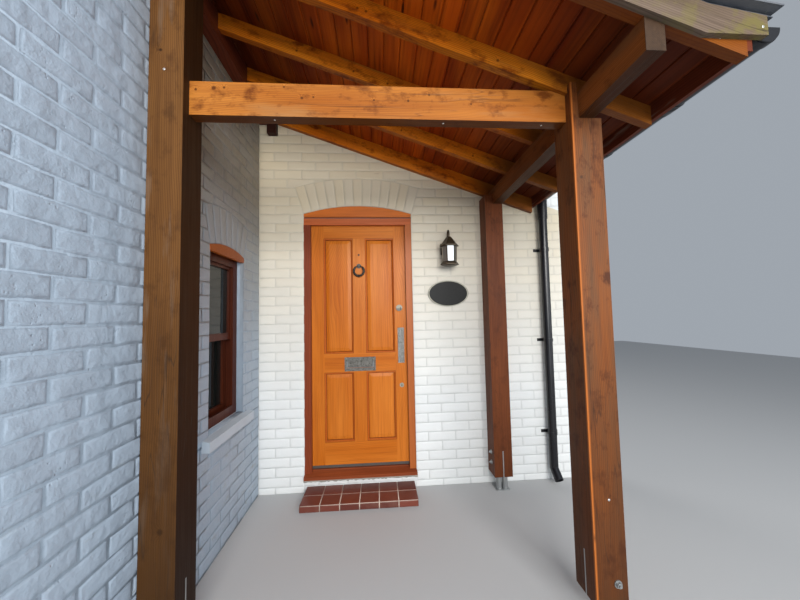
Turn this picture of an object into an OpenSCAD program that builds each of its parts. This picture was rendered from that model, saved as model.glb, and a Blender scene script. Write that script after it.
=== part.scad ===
// Lean-to entrance porch of stained timber, with the two stretches of house wall that it leans on.
// X runs along the door wall, +Y into the house and +Z up. The origin is on the outer face of the
// door wall, in the middle of the doorway, at the level of the ground.

/* [House walls] */
// Thickness of the solid brick walls
wall_t = 230; // [200:5:330]
// From the middle of the doorway to the face of the side wall
side_wall_x = 810; // [780:5:1000]
// How far the side wall runs out past the posts
side_wall_past = 720; // [450:10:1000]
// From the middle of the doorway to the cut end of the door wall
door_wall_end = 1900; // [1820:10:2400]
// Height of both walls above the slates, where they rise over the roof
wall_over_roof = 270; // [200:10:500]
// Depth of the rings of bricks on end that make the arches
arch_ring = 229; // [100:1:250]

/* [Doorway] */
// Width of the doorway between the bricks
doorway_w = 910; // [890:5:960]
// Level where the arch over the doorway springs
doorway_spring = 2272; // [2260:2:2290]
// Rise of the arch over the doorway
doorway_rise = 68; // [50:2:90]
// Level of the brickwork under the door sill
doorway_foot = 98; // [80:2:110]

/* [Door frame] */
// From the wall face back to the front of the door frame
frame_back = 15; // [5:1:40]
// Width of the frame members seen from the front
frame_face = 57; // [50:1:65]
// Depth of the rebate's stop in the frame, front to back
frame_stop = 35; // [25:1:45]
// From the underside of the frame's head up to where the arch springs
head_drop = 96; // [86:1:110]
// Height of the frame's head
head_h = 56; // [45:1:60]
// Thickness of the sill at its back
sill_h = 57; // [45:1:60]
// How far the sill's nosing stands out from the wall face
sill_nose = 25; // [10:1:50]
// Thickness of the curved boards under the arches
arch_board_t = 25; // [18:1:35]
// Height of the recessed strip under the curved board over the door
arch_board_strip = 14; // [8:1:20]

/* [Door] */
// How far the leaf laps behind the stops of the frame
leaf_lap = 8.5; // [8:0.5:12]
// Thickness of the door leaf
leaf_t = 44; // [38:1:50]
// Gap round the leaf, inside the frame's rebate
leaf_gap = 6.5; // [6.5:0.5:8]
// Gap between the leaf and the stop in front of it
stop_gap = 5; // [3:0.5:7]
// Width of the two stiles
stile_w = 110; // [90:1:120]
// Width of the middle muntin
muntin_w = 106; // [80:1:120]
// Height of the bottom rail
bottom_rail = 205; // [180:1:230]
// Height of the lower panels
lower_panel_h = 567; // [500:1:600]
// Height of the lock rail
lock_rail = 158; // [145:1:180]
// Height of the top rail
top_rail = 117; // [90:1:130]
// Width of the moulded edge round each panel
mould_w = 14; // [8:1:20]
// Depth of the moulded edge round each panel
mould_d = 10; // [6:1:12]
// Thickness of the panels at their edges
panel_edge_t = 12; // [8:1:16]
// Thickness of the raised middle of the panels
panel_field_t = 24; // [18:1:28]
// Width of the bevel between a panel's edge and its middle
panel_bevel = 30; // [20:1:45]

/* [Door furniture] */
// Width of the letter plate
letter_w = 260; // [240:2:290]
// Height of the letter plate
letter_h = 116; // [96:1:120]
// How far the letter plate sits below the middle of the lock rail
letter_low = 13; // [0:1:15]
// Width of the flap in the letter plate
flap_w = 212; // [190:1:220]
// Height of the flap in the letter plate
flap_h = 54; // [44:1:60]
// Thickness of the plates screwed to the door
plate_t = 4; // [3:0.5:6]
// Radius of the knocker ring, to the middle of its bar
knocker_r = 42; // [35:1:55]
// Radius of the knocker ring's bar
knocker_bar = 5; // [4:0.5:7]
// From the top of the leaf down to the knocker's hinge
knocker_down = 356; // [300:2:400]
// Length of the finger plate
finger_plate_h = 297; // [250:1:320]
// Width of the finger plate
finger_plate_w = 54; // [45:1:60]
// From the top of the lock rail up to the cylinder lock
cylinder_up = 374; // [330:2:400]
// Radius of the cylinder lock's rim
cylinder_r = 27; // [22:1:30]
// From the top of the lock rail down to the key's escutcheon
keyhole_down = 278; // [240:2:300]
// From the knocker's hinge up to the spy hole
spy_up = 97; // [80:1:120]
// Radius of the hinge pins
pin_r = 3; // [2.5:0.1:3.5]
// Radius of the hinge knuckles
knuckle_r = 5.2; // [4.6:0.1:5.4]
// Height of each door hinge
hinge_h = 100; // [75:1:120]

/* [Step] */
// Width of the tiled step
step_w = 860; // [700:5:1000]
// How far the step stands out from the wall
step_d = 265; // [200:5:350]
// Height of the step
step_h = 50; // [40:1:75]

/* [Window] */
// Width of the window opening in the side wall
window_w = 457; // [420:1:520]
// From the door wall to the near edge of the window opening
window_y = 288; // [260:1:300]
// Level of the underside of the window frame
window_foot = 742; // [700:1:800]
// Level where the arch over the window springs
window_spring = 1840; // [1800:1:1900]
// Rise of the arch over the window
window_rise = 33; // [20:1:60]
// From the wall face back to the window frame
window_back = 50; // [40:1:70]
// Depth of the window frame, front to back
window_frame_d = 100; // [90:1:120]
// Width of the window frame's members
window_face = 60; // [45:1:70]
// Width of the sashes' members
sash_w = 45; // [38:1:55]
// Thickness of each sash
sash_t = 36; // [30:1:40]
// Thickness of the glass
glass_t = 4; // [3:0.5:6]
// How far the stone sill stands out from the wall
stone_sill_out = 44; // [30:1:70]
// Height of the stone sill's front
stone_sill_h = 56; // [45:1:70]
// How far the stone sill runs past the opening on each side
stone_sill_past = 71; // [40:1:90]

/* [Posts and beams] */
// Width and depth of the posts
post_w = 145; // [120:1:160]
// From the door wall to the front of the front posts
post_front = 1262; // [1150:1:1350]
// From the middle of the doorway to the near face of the front right post
right_post_x = 1085; // [1000:1:1150]
// How far the back right post stands in from the front one
back_post_in = 33; // [0:1:35]
// Height of the metal shoes under the posts
shoe_h = 110; // [60:1:140]
// How far the shoes' blades run up into the posts
blade_h = 200; // [120:5:240]
// Thickness of the shoes' blades
blade_t = 8; // [5:0.5:10]
// Level of the underside of the tie beam
tie_z = 2310; // [2280:1:2330]
// Depth of the tie beam
tie_h = 156; // [130:1:160]
// Thickness of the tie beam
tie_t = 57; // [45:1:70]
// How far the tie beam is set back from the front of the posts
tie_back = 44; // [38:1:60]
// Width of the eaves beam
beam_w = 75; // [63:1:90]
// Depth of the eaves beam
beam_h = 125; // [110:1:130]
// Thickness of the post's horn beside the eaves beam
horn_t = 34; // [34:1:60]
// How far the horn of the front right post rises over the eaves beam
horn_up = 50; // [30:1:70]
// Width of the ledger on the side wall
ledger_w = 75; // [63:1:100]
// Depth of the ledger on the side wall
ledger_h = 145; // [120:1:160]
// Height of the short bearer in the corner, at its inner side
bearer_h = 98; // [60:1:140]
// Depth of the short bearer in the corner
bearer_d = 50; // [40:1:80]

/* [Roof] */
// Slope of the roof, in degrees
roof_pitch = 19.35; // [18:0.05:21]
// Level of the eaves beam's top, where the rafters bear on it
beam_top = 2430; // [2428:1:2450]
// Thickness of the rafters
rafter_t = 38; // [35:1:50]
// Depth of the rafters, square to the roof
rafter_h = 89; // [88:1:100]
// Depth of the rafter against the door wall
back_rafter_h = 112; // [100:1:145]
// From the door wall to the front of the second rafter
rafter_2_y = 438; // [380:1:470]
// From the door wall to the front of the third rafter
rafter_3_y = 838; // [790:1:880]
// How far the fourth rafter is set back from the front of the post
rafter_4_back = 24; // [12:1:30]
// How far the verge rafter stands out past the front of the posts
verge_past = 376; // [300:1:420]
// From the middle of the doorway to the plumb cut ends of the rafters
tail_x = 1505; // [1450:1:1600]
// Covered width of one roof board
board_w = 90; // [80:1:110]
// Thickness of the roof boards
board_t = 18; // [15:1:22]
// Gap between two roof boards
board_gap = 1.5; // [1:0.5:3]
// Width of the V cut along the roof boards' lower edges
board_v = 5; // [3:0.5:8]
// Gauge of the slates, from one lap to the next along the slope
slate_gauge = 200; // [150:5:260]
// Thickness of one slate course at its lower edge
slate_t = 22; // [15:1:30]
// Thickness of one slate course at its upper edge
slate_thin = 10; // [6:1:14]
// How far the slates run past the bargeboard
slate_past = 28; // [20:1:60]
// How far the slates run past the rafters' ends, over the gutter
slate_drip = 65; // [40:1:80]
// Length of the last slates, tilted up by the fascia
kick_l = 250; // [150:5:350]
// How far the fascia lifts the slates' last edge
kick_h = 44; // [20:1:60]
// Thickness of the fascia on the rafters' ends
fascia_t = 20; // [16:1:25]
// How far the fascia's lower edge is above the lower corners of the rafters' ends
fascia_up = 21; // [0:1:30]
// Thickness of the bargeboard
barge_t = 22; // [18:1:30]
// How far the bargeboard runs past the rafters' ends
barge_past = 57; // [30:1:64]
// Height of the bargeboard's plumb end, above its level foot
barge_end_h = 72; // [60:1:85]
// Thickness of the lead flashings
lead_t = 3; // [2:0.5:5]
// Height of the lead against the walls
lead_up = 120; // [90:5:150]
// Width of the lead on the slates
lead_out = 130; // [100:5:180]

/* [Rainwater pipes] */
// Outer radius of the gutter
gutter_r = 56; // [50:1:57]
// Thickness of the gutter
gutter_t = 3; // [2:0.5:4]
// How far the gutter's rim lies above the lower end of the roof boards
gutter_up = 21; // [10:1:24]
// Gap between the gutter and the fascia
gutter_off = 4; // [2:1:8]
// Outer radius of the downpipe
pipe_r = 34; // [30:1:38]
// Wall thickness of the downpipe
pipe_t = 3; // [2:0.5:4]
// From the door wall to the middle of the downpipe
pipe_y = 56; // [50:1:70]
// Level where the pipe's straight run meets its shoe
shoe_z = 120; // [115:5:160]
// Width of the pipe's clips, and of the gutter's brackets
clip_w = 24; // [18:1:30]
// Length of the pipe's shoe below its turn
shoe_l = 100; // [60:5:120]

/* [Lantern and plaque] */
// From the middle of the doorway to the middle of the lantern and plaque
lantern_x = 754; // [700:1:800]
// Level of the lantern's base
lantern_z = 1799; // [1760:1:1860]
// Height of the lantern's glass
lantern_glass_h = 124; // [110:2:160]
// Radius of the lantern's body at its foot, to the corners
lantern_r = 59; // [45:1:70]
// How much wider the lantern's body is at its top
lantern_flare = 5; // [2:1:20]
// From the wall to the middle of the lantern
lantern_y = 95; // [85:1:120]
// Width of the oval plaque
plaque_w = 345; // [300:5:400]
// Height of the oval plaque
plaque_h = 218; // [180:2:240]
// Level of the middle of the plaque
plaque_z = 1578; // [1540:2:1620]
// Thickness of the plaque
plaque_t = 10; // [6:1:14]
// Width of the plaque's raised rim
plaque_rim = 9; // [6:1:14]

/* [Hidden] */
$fn = 48;

// Room left past a face by every cutting shape
cut = 5;

// Colours, as the photograph shows them
paint = [0.86, 0.88, 0.90];
dark_wood = [0.45, 0.22, 0.10];
warm_wood = [0.72, 0.38, 0.14];
door_wood = [0.80, 0.45, 0.17];
frame_wood = [0.50, 0.20, 0.10];
board_wood = [0.28, 0.07, 0.04];
grey_wood = [0.66, 0.58, 0.52];
slate_grey = [0.30, 0.32, 0.36];
lead_grey = [0.45, 0.47, 0.50];
black = [0.06, 0.06, 0.07];
steel = [0.66, 0.68, 0.70];
pewter = [0.55, 0.54, 0.50];
tile_red = [0.60, 0.25, 0.18];

// Slopes of the roof: its tangent, and how much longer a plumb depth is than a square one
fall = tan(roof_pitch);
plumb = 1 / cos(roof_pitch);

// Main places
wall_x = -side_wall_x;
right_post_out = right_post_x + post_w;
back_post_x = right_post_x - back_post_in;
beam_x = right_post_x + horn_t;
beam_z = beam_top - beam_h;
horn_z = beam_top + horn_up;
verge_y = post_front + verge_past;
doorway_x = doorway_w / 2;
gutter_x = tail_x + fascia_t + gutter_off + gutter_r;
side_wall_end = -post_front - side_wall_past;

// Levels of the roof over X, from the rafters' undersides upwards, with a hair's play at each bearing
play = 0.05;
function under_z(x) = beam_top - (x - beam_x) * fall;
function boards_z(x) = under_z(x) + rafter_h * plumb;
function slates_z(x) = boards_z(x) + board_t * plumb;
function covering_z(x) = slates_z(x) + slate_t * plumb;
wall_top = covering_z(wall_x) + wall_over_roof;
gutter_z = boards_z(tail_x) + gutter_up;

// The ledger and the front tie, which carry the rafters
bearer_x = wall_x + ledger_w;
ledger_z = boards_z(bearer_x) - ledger_h - 2;
tie_front = -post_front + tie_back;

// The rafters: front face of each, and its depth
rafter_4_y = post_front - rafter_4_back;
rafter_depths = [back_rafter_h, rafter_h, rafter_h, rafter_h, rafter_h];
rafter_fronts = [rafter_t, rafter_2_y, rafter_3_y, rafter_4_y, verge_y];

// The door leaf and its hinges
leaf_front = frame_back + frame_stop + stop_gap;
leaf_back = leaf_front + leaf_t;
leaf_x = doorway_x - frame_face + leaf_lap;
head_z = doorway_spring - head_drop;
sill_z = doorway_foot + sill_h;
leaf_z = sill_z + leaf_gap;
upper_panel_z = leaf_z + bottom_rail + lower_panel_h + lock_rail;
leaf_top = head_z + leaf_lap;
upper_panel_h = leaf_top - top_rail - upper_panel_z;
panel_w = leaf_x - stile_w - muntin_w / 2;
panel_mid = (muntin_w + panel_w) / 2;
rebate_x = leaf_x + leaf_gap;
hinge_x = -leaf_x - leaf_gap / 2;
hinge_y = leaf_back + 6;
hinge_zs = [leaf_z + 250, (leaf_z + leaf_top) / 2, leaf_top - 200];
hinge_leaf_t = 1.9;
pin_gap = 0.08;
knuckle_gap = 0.3;

// Door furniture
letter_z = upper_panel_z - lock_rail / 2 - letter_low;
flap_pin_r = 2.5;
flap_gap = 5;
flap_z = letter_z + flap_h / 2;
flap_y = leaf_front + flap_pin_r + 2;
slot_w = flap_w + 30;
slot_h = flap_h + 12;
lock_x = leaf_x - stile_w / 2 - 4;
knocker_z = leaf_top - knocker_down;

// Centre of a circle through two springing points, and its radius
function arch_r(w, rise) = (w * w / 4 + rise * rise) / (2 * rise);
door_arch_r = arch_r(doorway_w, doorway_rise);
window_arch_r = arch_r(window_w, window_rise);
door_arch_z = doorway_spring + doorway_rise - door_arch_r;
window_arch_z = window_spring + window_rise - window_arch_r;
window_mid = -window_y - window_w / 2;

// A flat shape drawn in X and Z, extruded over Y from y0 to y0 + t
module upright(y0, t) translate([0, y0 + t, 0]) rotate([90, 0, 0]) linear_extrude(t) children();

// A flat shape drawn in Y and Z, extruded over X from x0 to x0 + l
module along_x(x0, l) translate([x0, 0, 0]) rotate([90, 0, 90]) linear_extrude(l) children();

// A flat rectangle between two corners
module rect(x0, z0, x1, z1) translate([x0, z0]) square([x1 - x0, z1 - z0]);

// A box between two corners
module box(a, b) translate(a) cube(b - a);

// A rod along X, Y or Z
module rod_x(x0, x1, y, z, r) translate([x0, y, z]) rotate([0, 90, 0]) cylinder(h = x1 - x0, r = r);
module rod_y(y0, y1, x, z, r) translate([x, y1, z]) rotate([90, 0, 0]) cylinder(h = y1 - y0, r = r);
module rod_z(z0, z1, x, y, r) translate([x, y, z0]) cylinder(h = z1 - z0, r = r);

// Segmental arches, as flat shapes: the opening's top, and the ring of bricks round it
module arch_disc(mid, z, r) translate([mid, z]) circle(r, $fn = 180);
module arch_wedge(mid, z, w, r) {
    reach = 1.6 * (r + arch_ring);
    side = reach * (w / 2) / r;
    polygon([[mid, z], [mid - side, z + reach * sqrt(1 - pow(w / 2 / r, 2))],
        [mid + side, z + reach * sqrt(1 - pow(w / 2 / r, 2))]]);
}
module arch_fan(mid, z, w, r) intersection() {
    arch_disc(mid, z, r + arch_ring);
    arch_wedge(mid, z, w, r);
}
module arch_shape(mid, z, w, r) difference() {
    arch_fan(mid, z, w, r);
    arch_disc(mid, z, r);
}

// House walls
module door_wall_part(x0, x1, z0) upright(0, wall_t) difference() {
    polygon([[x0, z0], [x1, z0],
        [x1, covering_z(x1) + wall_over_roof], [x0, covering_z(x0) + wall_over_roof]]);
    children();
}
module door_fan() arch_fan(0, door_arch_z, doorway_w, door_arch_r);
module door_wall_left() color(paint) door_wall_part(wall_x, -doorway_x, 0) door_fan();
module door_wall_right() color(paint) door_wall_part(doorway_x, door_wall_end, 0) door_fan();
module door_wall_head() color(paint) door_wall_part(-doorway_x, doorway_x, doorway_spring)
    arch_disc(0, door_arch_z, door_arch_r + arch_ring);
module door_wall_foot() color(paint) box([-doorway_x, 0, 0], [doorway_x, wall_t, doorway_foot]);
module door_arch() color(paint) upright(0, wall_t) arch_shape(0, door_arch_z, doorway_w, door_arch_r);

module side_wall_part(y0, y1, z0) color(paint) along_x(wall_x - wall_t, wall_t) difference() {
    rect(y0, z0, y1, wall_top);
    children();
}
module window_fan() arch_fan(window_mid, window_arch_z, window_w, window_arch_r);
module side_wall_front() side_wall_part(side_wall_end, window_y0, 0) window_fan();
module side_wall_back() side_wall_part(-window_y, wall_t, 0) window_fan();
module side_wall_head() side_wall_part(window_y0, -window_y, window_spring)
    arch_disc(window_mid, window_arch_z, window_arch_r + arch_ring);
module side_wall_foot() color(paint) upright(window_y0, window_w)
    polygon([[wall_x - wall_t, 0], [wall_x, 0], [wall_x, stone_z], [stone_back, stone_z],
        [stone_back, window_foot], [wall_x - wall_t, window_foot]]);
module window_arch() color(paint) along_x(wall_x - wall_t, wall_t)
    arch_shape(window_mid, window_arch_z, window_w, window_arch_r);

// Timber frame
module front_left_post() color(dark_wood) difference() {
    box([wall_x, -post_front, shoe_h], [wall_x + post_w, -post_front + post_w, ledger_z]);
    blade(wall_x, -post_front, 90, cut);
}

module front_right_post() color(dark_wood) difference() {
    box([right_post_x, -post_front, shoe_h], [right_post_out, -post_front + post_w, horn_z]);
    box([beam_x, -post_front - cut, beam_z],
        [right_post_out + cut, -post_front + post_w + cut, horn_z + cut]);
    rafter_shape(rafter_4_y, rafter_h);
    blade(right_post_x, -post_front, 90, cut);
}

module back_right_post() color(dark_wood) difference() {
    box([back_post_x, -post_w, shoe_h], [back_post_x + post_w, 0, under_z(beam_x) - 50]);
    box([beam_x, -post_w - cut, beam_z], [back_post_x + post_w + cut, cut, beam_top]);
    blade(back_post_x, -post_w, 0, cut);
}

// Steel shoes: two plates with a pair of short tubes between them, and a blade let into the post
shoe_plate = 6;
shoe_half = post_w * 0.38;
module at_post(x, y, turn) translate([x + post_w / 2, y + post_w / 2, 0]) rotate([0, 0, turn]) children();
module blade(x, y, turn, past) at_post(x, y, turn)
    box([-blade_t / 2, -post_w / 2 - past, shoe_h - past],
        [blade_t / 2, post_w / 2 + past, shoe_h + blade_h]);
module shoe(x, y, turn) {
    at_post(x, y, turn) {
        box([-shoe_half, -shoe_half, 0], [shoe_half, shoe_half, shoe_plate]);
        for (side = [-1, 1])
            rod_z(0, shoe_h, side * shoe_half * 0.45, -shoe_half * 0.4, shoe_half * 0.4);
        box([-shoe_half, -shoe_half, shoe_h - shoe_plate], [shoe_half, shoe_half, shoe_h]);
    }
    blade(x, y, turn, 0);
}
module post_shoes() color(steel) {
    shoe(wall_x, -post_front, 90);
    shoe(right_post_x, -post_front, 90);
    shoe(back_post_x, -post_w, 0);
}

// A washer, a nut and the bolt's end
bolt_r = 6;
bolt_zs = [shoe_h + blade_h * 0.48, shoe_h + blade_h * 0.88];
module coach_bolt() {
    cylinder(h = 4, r = bolt_r * 2.8);
    translate([0, 0, 3]) rotate([0, 0, 30]) cylinder(h = 10, r = bolt_r * 2.1, $fn = 6);
    translate([0, 0, 12]) cylinder(h = 8, r = bolt_r);
}
module post_bolts() color(steel) {
    for (x = [wall_x, right_post_x])
        translate([x + post_w * 0.68, -post_front, bolt_zs[0]]) rotate([90, 0, 0]) coach_bolt();
    for (z = bolt_zs) translate([back_post_x, -post_w * 0.6, z]) rotate([0, -90, 0]) coach_bolt();
}

module tie_beam() color(warm_wood) difference() {
    box([wall_x + post_w, tie_front, tie_z], [right_post_x, tie_front + tie_t, tie_z + tie_h]);
    rafter_shape(rafter_4_y, rafter_h);
}

module eaves_beam() color(warm_wood) box([beam_x, -verge_y, beam_z], [beam_x + beam_w, 0, beam_top]);

module wall_ledger() color(dark_wood)
    box([wall_x, -verge_y, ledger_z], [wall_x + ledger_w, 0, ledger_z + ledger_h]);

back_under = (rafter_h - back_rafter_h) * plumb;
bearer_z = under_z(bearer_x + ledger_w) + back_under - bearer_h;
module corner_bearer() color(dark_wood) upright(-bearer_d, bearer_d)
    polygon([[bearer_x, bearer_z], [bearer_x + ledger_w, bearer_z],
        [bearer_x + ledger_w, under_z(bearer_x + ledger_w) + back_under],
        [bearer_x, under_z(bearer_x) + back_under]]);

// A rafter from the ledger to its plumb cut end, before its seat on the eaves beam is cut
module rafter_shape(front, depth) upright(-front, rafter_t)
    polygon([[bearer_x, boards_z(bearer_x) - depth * plumb], [tail_x, boards_z(tail_x) - depth * plumb],
        [tail_x, boards_z(tail_x)], [bearer_x, boards_z(bearer_x)]]);
module rafter(i) color(warm_wood) difference() {
    rafter_shape(rafter_fronts[i], rafter_depths[i]);
    box([beam_x, -rafter_fronts[i] - cut, beam_z - cut],
        [beam_x + beam_w, -rafter_fronts[i] + rafter_t + cut, beam_top]);
}
module back_rafter() rafter(0);
module second_rafter() rafter(1);
module third_rafter() rafter(2);
module post_rafter() rafter(3);
module verge_rafter() rafter(4);

// Roof boards, laid along the slope's contour, each with its lower edges cut to a V
slope_len = (tail_x - wall_x) * plumb - board_t * fall - board_gap;
board_count = floor(slope_len / board_w);
board_fit = slope_len / board_count;
module roof_board(w)
    polygon([[0, board_v], [board_v, 0], [w - board_v, 0], [w, board_v], [w, board_t], [0, board_t]]);
module on_slope(up) translate([wall_x, 0, boards_z(wall_x) + up]) rotate([0, roof_pitch, 0]) children();
module roof_boards() color(board_wood) on_slope(play)
    for (i = [0 : board_count - 1])
        translate([i * board_fit, 0, 0]) upright(-verge_y, verge_y) roof_board(board_fit - board_gap);

// Slates in lapped courses, drawn as one stepped covering, with the last ones tilted up
slates_len = (tail_x + slate_drip - wall_x) * plumb;
course_count = round(slates_len / slate_gauge);
course = slates_len / course_count;
kick_s = slates_len - kick_l;
kick_i = kick_s / course;
function kick_n(s) = max(0, s - kick_s) * kick_h / kick_l;
module slates_profile() polygon(concat(
    [[0, board_t], [kick_s, board_t], [slates_len, board_t + kick_h]],
    [for (i = [course_count - 1 : -1 : 0]) each [
        [(i + 1) * course, board_t + slate_t + kick_n((i + 1) * course)],
        if (i < kick_i && i + 1 > kick_i)
            [kick_s, board_t + slate_t - (slate_t - slate_thin) * (i + 1 - kick_i)],
        [i * course, board_t + slate_thin + kick_n(i * course)]]]));
module roof_slates() color(slate_grey) on_slope(2 * play)
    upright(-verge_y - barge_t - slate_past, verge_y + barge_t + slate_past) slates_profile();

// Underside of the slates over X, where they are tilted too
kick_x = wall_x + kick_s * cos(roof_pitch) + board_t * sin(roof_pitch);
kick_pitch = roof_pitch - atan(kick_h / kick_l);
function kick_z(x) = x < kick_x ? slates_z(x) : slates_z(kick_x) - (x - kick_x) * tan(kick_pitch);

// Fascia on the rafters' ends, which carries the tilted edge of the slates
fascia_z = boards_z(tail_x) - rafter_h * plumb + fascia_up;
module fascia() color(frame_wood) upright(-verge_y, verge_y)
    polygon([[tail_x, fascia_z], [tail_x + fascia_t, fascia_z],
        [tail_x + fascia_t, kick_z(tail_x + fascia_t)], [tail_x, kick_z(tail_x)]]);

// Lead against the side wall, with an apron on the slates, and in steps against the door wall
apron_n = board_t + slate_thin;
lap_rise = (slate_t - slate_thin) / course;
apron_s = -apron_n * sin(roof_pitch) / (cos(roof_pitch) + lap_rise * sin(roof_pitch));
apron_z = boards_z(wall_x) - apron_s * sin(roof_pitch)
    + (apron_n + lap_rise * apron_s) * cos(roof_pitch) + 4 * play;
edge_n = apron_n + lap_rise * lead_out;
edge_x = wall_x + lead_out * cos(roof_pitch) + edge_n * sin(roof_pitch);
edge_z = boards_z(wall_x) - lead_out * sin(roof_pitch) + edge_n * cos(roof_pitch) + 4 * play;
apron_fall = (apron_z - edge_z) / (edge_x - wall_x);
step_run = 217;
module lead_flashing() color(lead_grey) {
    upright(-verge_y - barge_t, verge_y + barge_t)
        polygon([[wall_x, apron_z], [edge_x, edge_z], [edge_x, edge_z + lead_t],
            [wall_x + lead_t, apron_z + lead_t * (1 - apron_fall)],
            [wall_x + lead_t, apron_z + lead_up], [wall_x, apron_z + lead_up]]);
    step_count = floor((kick_x - edge_x) / step_run);
    upright(-lead_t, lead_t) polygon(concat(
        [for (i = [0 : step_count - 1]) each [
            [step_x(i), covering_z(step_x(i + 1)) + lead_up],
            [step_x(i + 1), covering_z(step_x(i + 1)) + lead_up]]],
        [[step_x(step_count), covering_z(step_x(step_count)) + 3], [step_x(0), covering_z(step_x(0)) + 3]]));
}
function step_x(i) = edge_x + lead_t + i * step_run;

// Bargeboard over the verge rafter, with a level cut foot
barge_x = tail_x + barge_past;
barge_foot_z = kick_z(barge_x) - barge_end_h;
barge_foot_x = beam_x + (beam_top - barge_foot_z) / fall;
module bargeboard() color(grey_wood) upright(-verge_y - barge_t, barge_t)
    polygon([[wall_x, under_z(wall_x)], [barge_foot_x, barge_foot_z], [barge_x, barge_foot_z],
        [barge_x, kick_z(barge_x)], [kick_x, slates_z(kick_x)], [wall_x, slates_z(wall_x)]]);

// Half-round gutter with stop ends and an outlet, on brackets from the rafters' ends
gutter_y0 = -verge_y;
gutter_y1 = -4;
module half_round(r, y0, y1) intersection() {
    rod_y(y0, y1, gutter_x, gutter_z, r);
    box([gutter_x - r - cut, y0 - cut, gutter_z - r - cut], [gutter_x + r + cut, y1 + cut, gutter_z]);
}
module gutter() color(black) difference() {
    union() {
        half_round(gutter_r, gutter_y0, gutter_y1);
        rod_z(gutter_z - gutter_r - 60, gutter_z - gutter_r / 2, gutter_x, -pipe_y, pipe_r + 6);
    }
    translate([0, 0, cut]) intersection() {
        rod_y(gutter_y0 + gutter_t, gutter_y1 - gutter_t, gutter_x, gutter_z - cut, gutter_r - gutter_t);
        box([gutter_x - gutter_r, gutter_y0, gutter_z - gutter_r - cut],
            [gutter_x + gutter_r, gutter_y1, gutter_z - cut]);
    }
    rod_z(gutter_z - gutter_r - 70, gutter_z, gutter_x, -pipe_y, pipe_r - pipe_t);
}

// Each bracket is a strap from a rafter's end, round the gutter's outside
bracket_t = 3;
module gutter_bracket(y) {
    intersection() {
        difference() {
            rod_y(y - clip_w, y, gutter_x, gutter_z, gutter_r + bracket_t);
            rod_y(y - clip_w - cut, y + cut, gutter_x, gutter_z, gutter_r);
        }
        box([tail_x + fascia_t, y - clip_w - cut, gutter_z - gutter_r - cut],
            [gutter_x + gutter_r + cut, y + cut, gutter_z]);
    }
}
module gutter_brackets() color(black) for (i = [1 : 4])
    gutter_bracket(-rafter_fronts[i] + (rafter_t + clip_w) / 2);

// Downpipe, with a socket at its top and a mitred shoe that turns forward at its foot
socket_top = gutter_z - gutter_r - 60;
shoe_turn = 45;
module at_shoe(angle) translate([gutter_x, -pipe_y, shoe_z]) rotate([-angle, 0, 0]) children();
module mitre_half(z0, z1) at_shoe(shoe_turn / 2)
    box([-2 * pipe_r, -gutter_z, z0], [2 * pipe_r, gutter_z, z1]);
module pipe_run(r, past) {
    intersection() {
        rod_z(shoe_z - 2 * pipe_r, socket_top + past, gutter_x, -pipe_y, r);
        mitre_half(0, gutter_z);
    }
    intersection() {
        at_shoe(shoe_turn) rod_z(-shoe_l - past, 2 * pipe_r, 0, 0, r);
        mitre_half(-2 * shoe_l, 0);
    }
}
module downpipe() color(black) difference() {
    union() {
        pipe_run(pipe_r, 0);
        rod_z(socket_top - 90, socket_top, gutter_x, -pipe_y, pipe_r + 5);
    }
    pipe_run(pipe_r - pipe_t, cut);
}

clip_zs = [socket_top * 0.84, socket_top * 0.504, socket_top * 0.17];
module pipe_clip(z) difference() {
    union() {
        rod_z(z, z + clip_w, gutter_x, -pipe_y, pipe_r + 4);
        box([gutter_x - 2 * pipe_r, -8, z], [gutter_x + 2 * pipe_r, 0, z + clip_w]);
        box([gutter_x - pipe_r / 2, -pipe_y, z], [gutter_x + pipe_r / 2, -4, z + clip_w]);
        for (side = [-1, 1]) rod_y(-16, -4, gutter_x + side * 1.7 * pipe_r, z + clip_w / 2, clip_w / 2 - 3);
    }
    rod_z(z - cut, z + clip_w + cut, gutter_x, -pipe_y, pipe_r);
}
module pipe_clips() color(black) for (z = clip_zs) pipe_clip(z);

// Step
module door_step() color(tile_red) box([-step_w / 2, -step_d, 0], [step_w / 2, 0, step_h]);

// Door frame
module sill_shape() along_x(-doorway_x, doorway_w)
    polygon([[leaf_back, doorway_foot], [leaf_back, sill_z], [frame_back + frame_stop, sill_z],
        [frame_back + frame_stop - 6, sill_z - 6], [-sill_nose, sill_z - 28], [-sill_nose, doorway_foot + 6],
        [-sill_nose + 8, doorway_foot + 6], [-sill_nose + 12, doorway_foot + 10],
        [-sill_nose + 16, doorway_foot + 6],
        [-1, doorway_foot + 6], [0, doorway_foot]]);
module door_sill() color(frame_wood) sill_shape();

module jamb(side) difference() {
    union() {
        box([side > 0 ? doorway_x - frame_face : -doorway_x, frame_back, doorway_foot],
            [side > 0 ? doorway_x : -doorway_x + frame_face, frame_back + frame_stop, head_z]);
        box([side > 0 ? rebate_x : -doorway_x, frame_back + frame_stop, doorway_foot],
            [side > 0 ? doorway_x : -rebate_x, leaf_back, head_z]);
    }
    sill_shape();
}
module door_jambs() color(frame_wood) {
    jamb(-1);
    jamb(1);
}
module door_head() color(frame_wood) difference() {
    box([-doorway_x, frame_back, head_z], [doorway_x, leaf_back, head_z + head_h]);
    box([-rebate_x, frame_back + frame_stop, head_z - cut],
        [rebate_x, leaf_back + cut, leaf_top + leaf_gap]);
}

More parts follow.
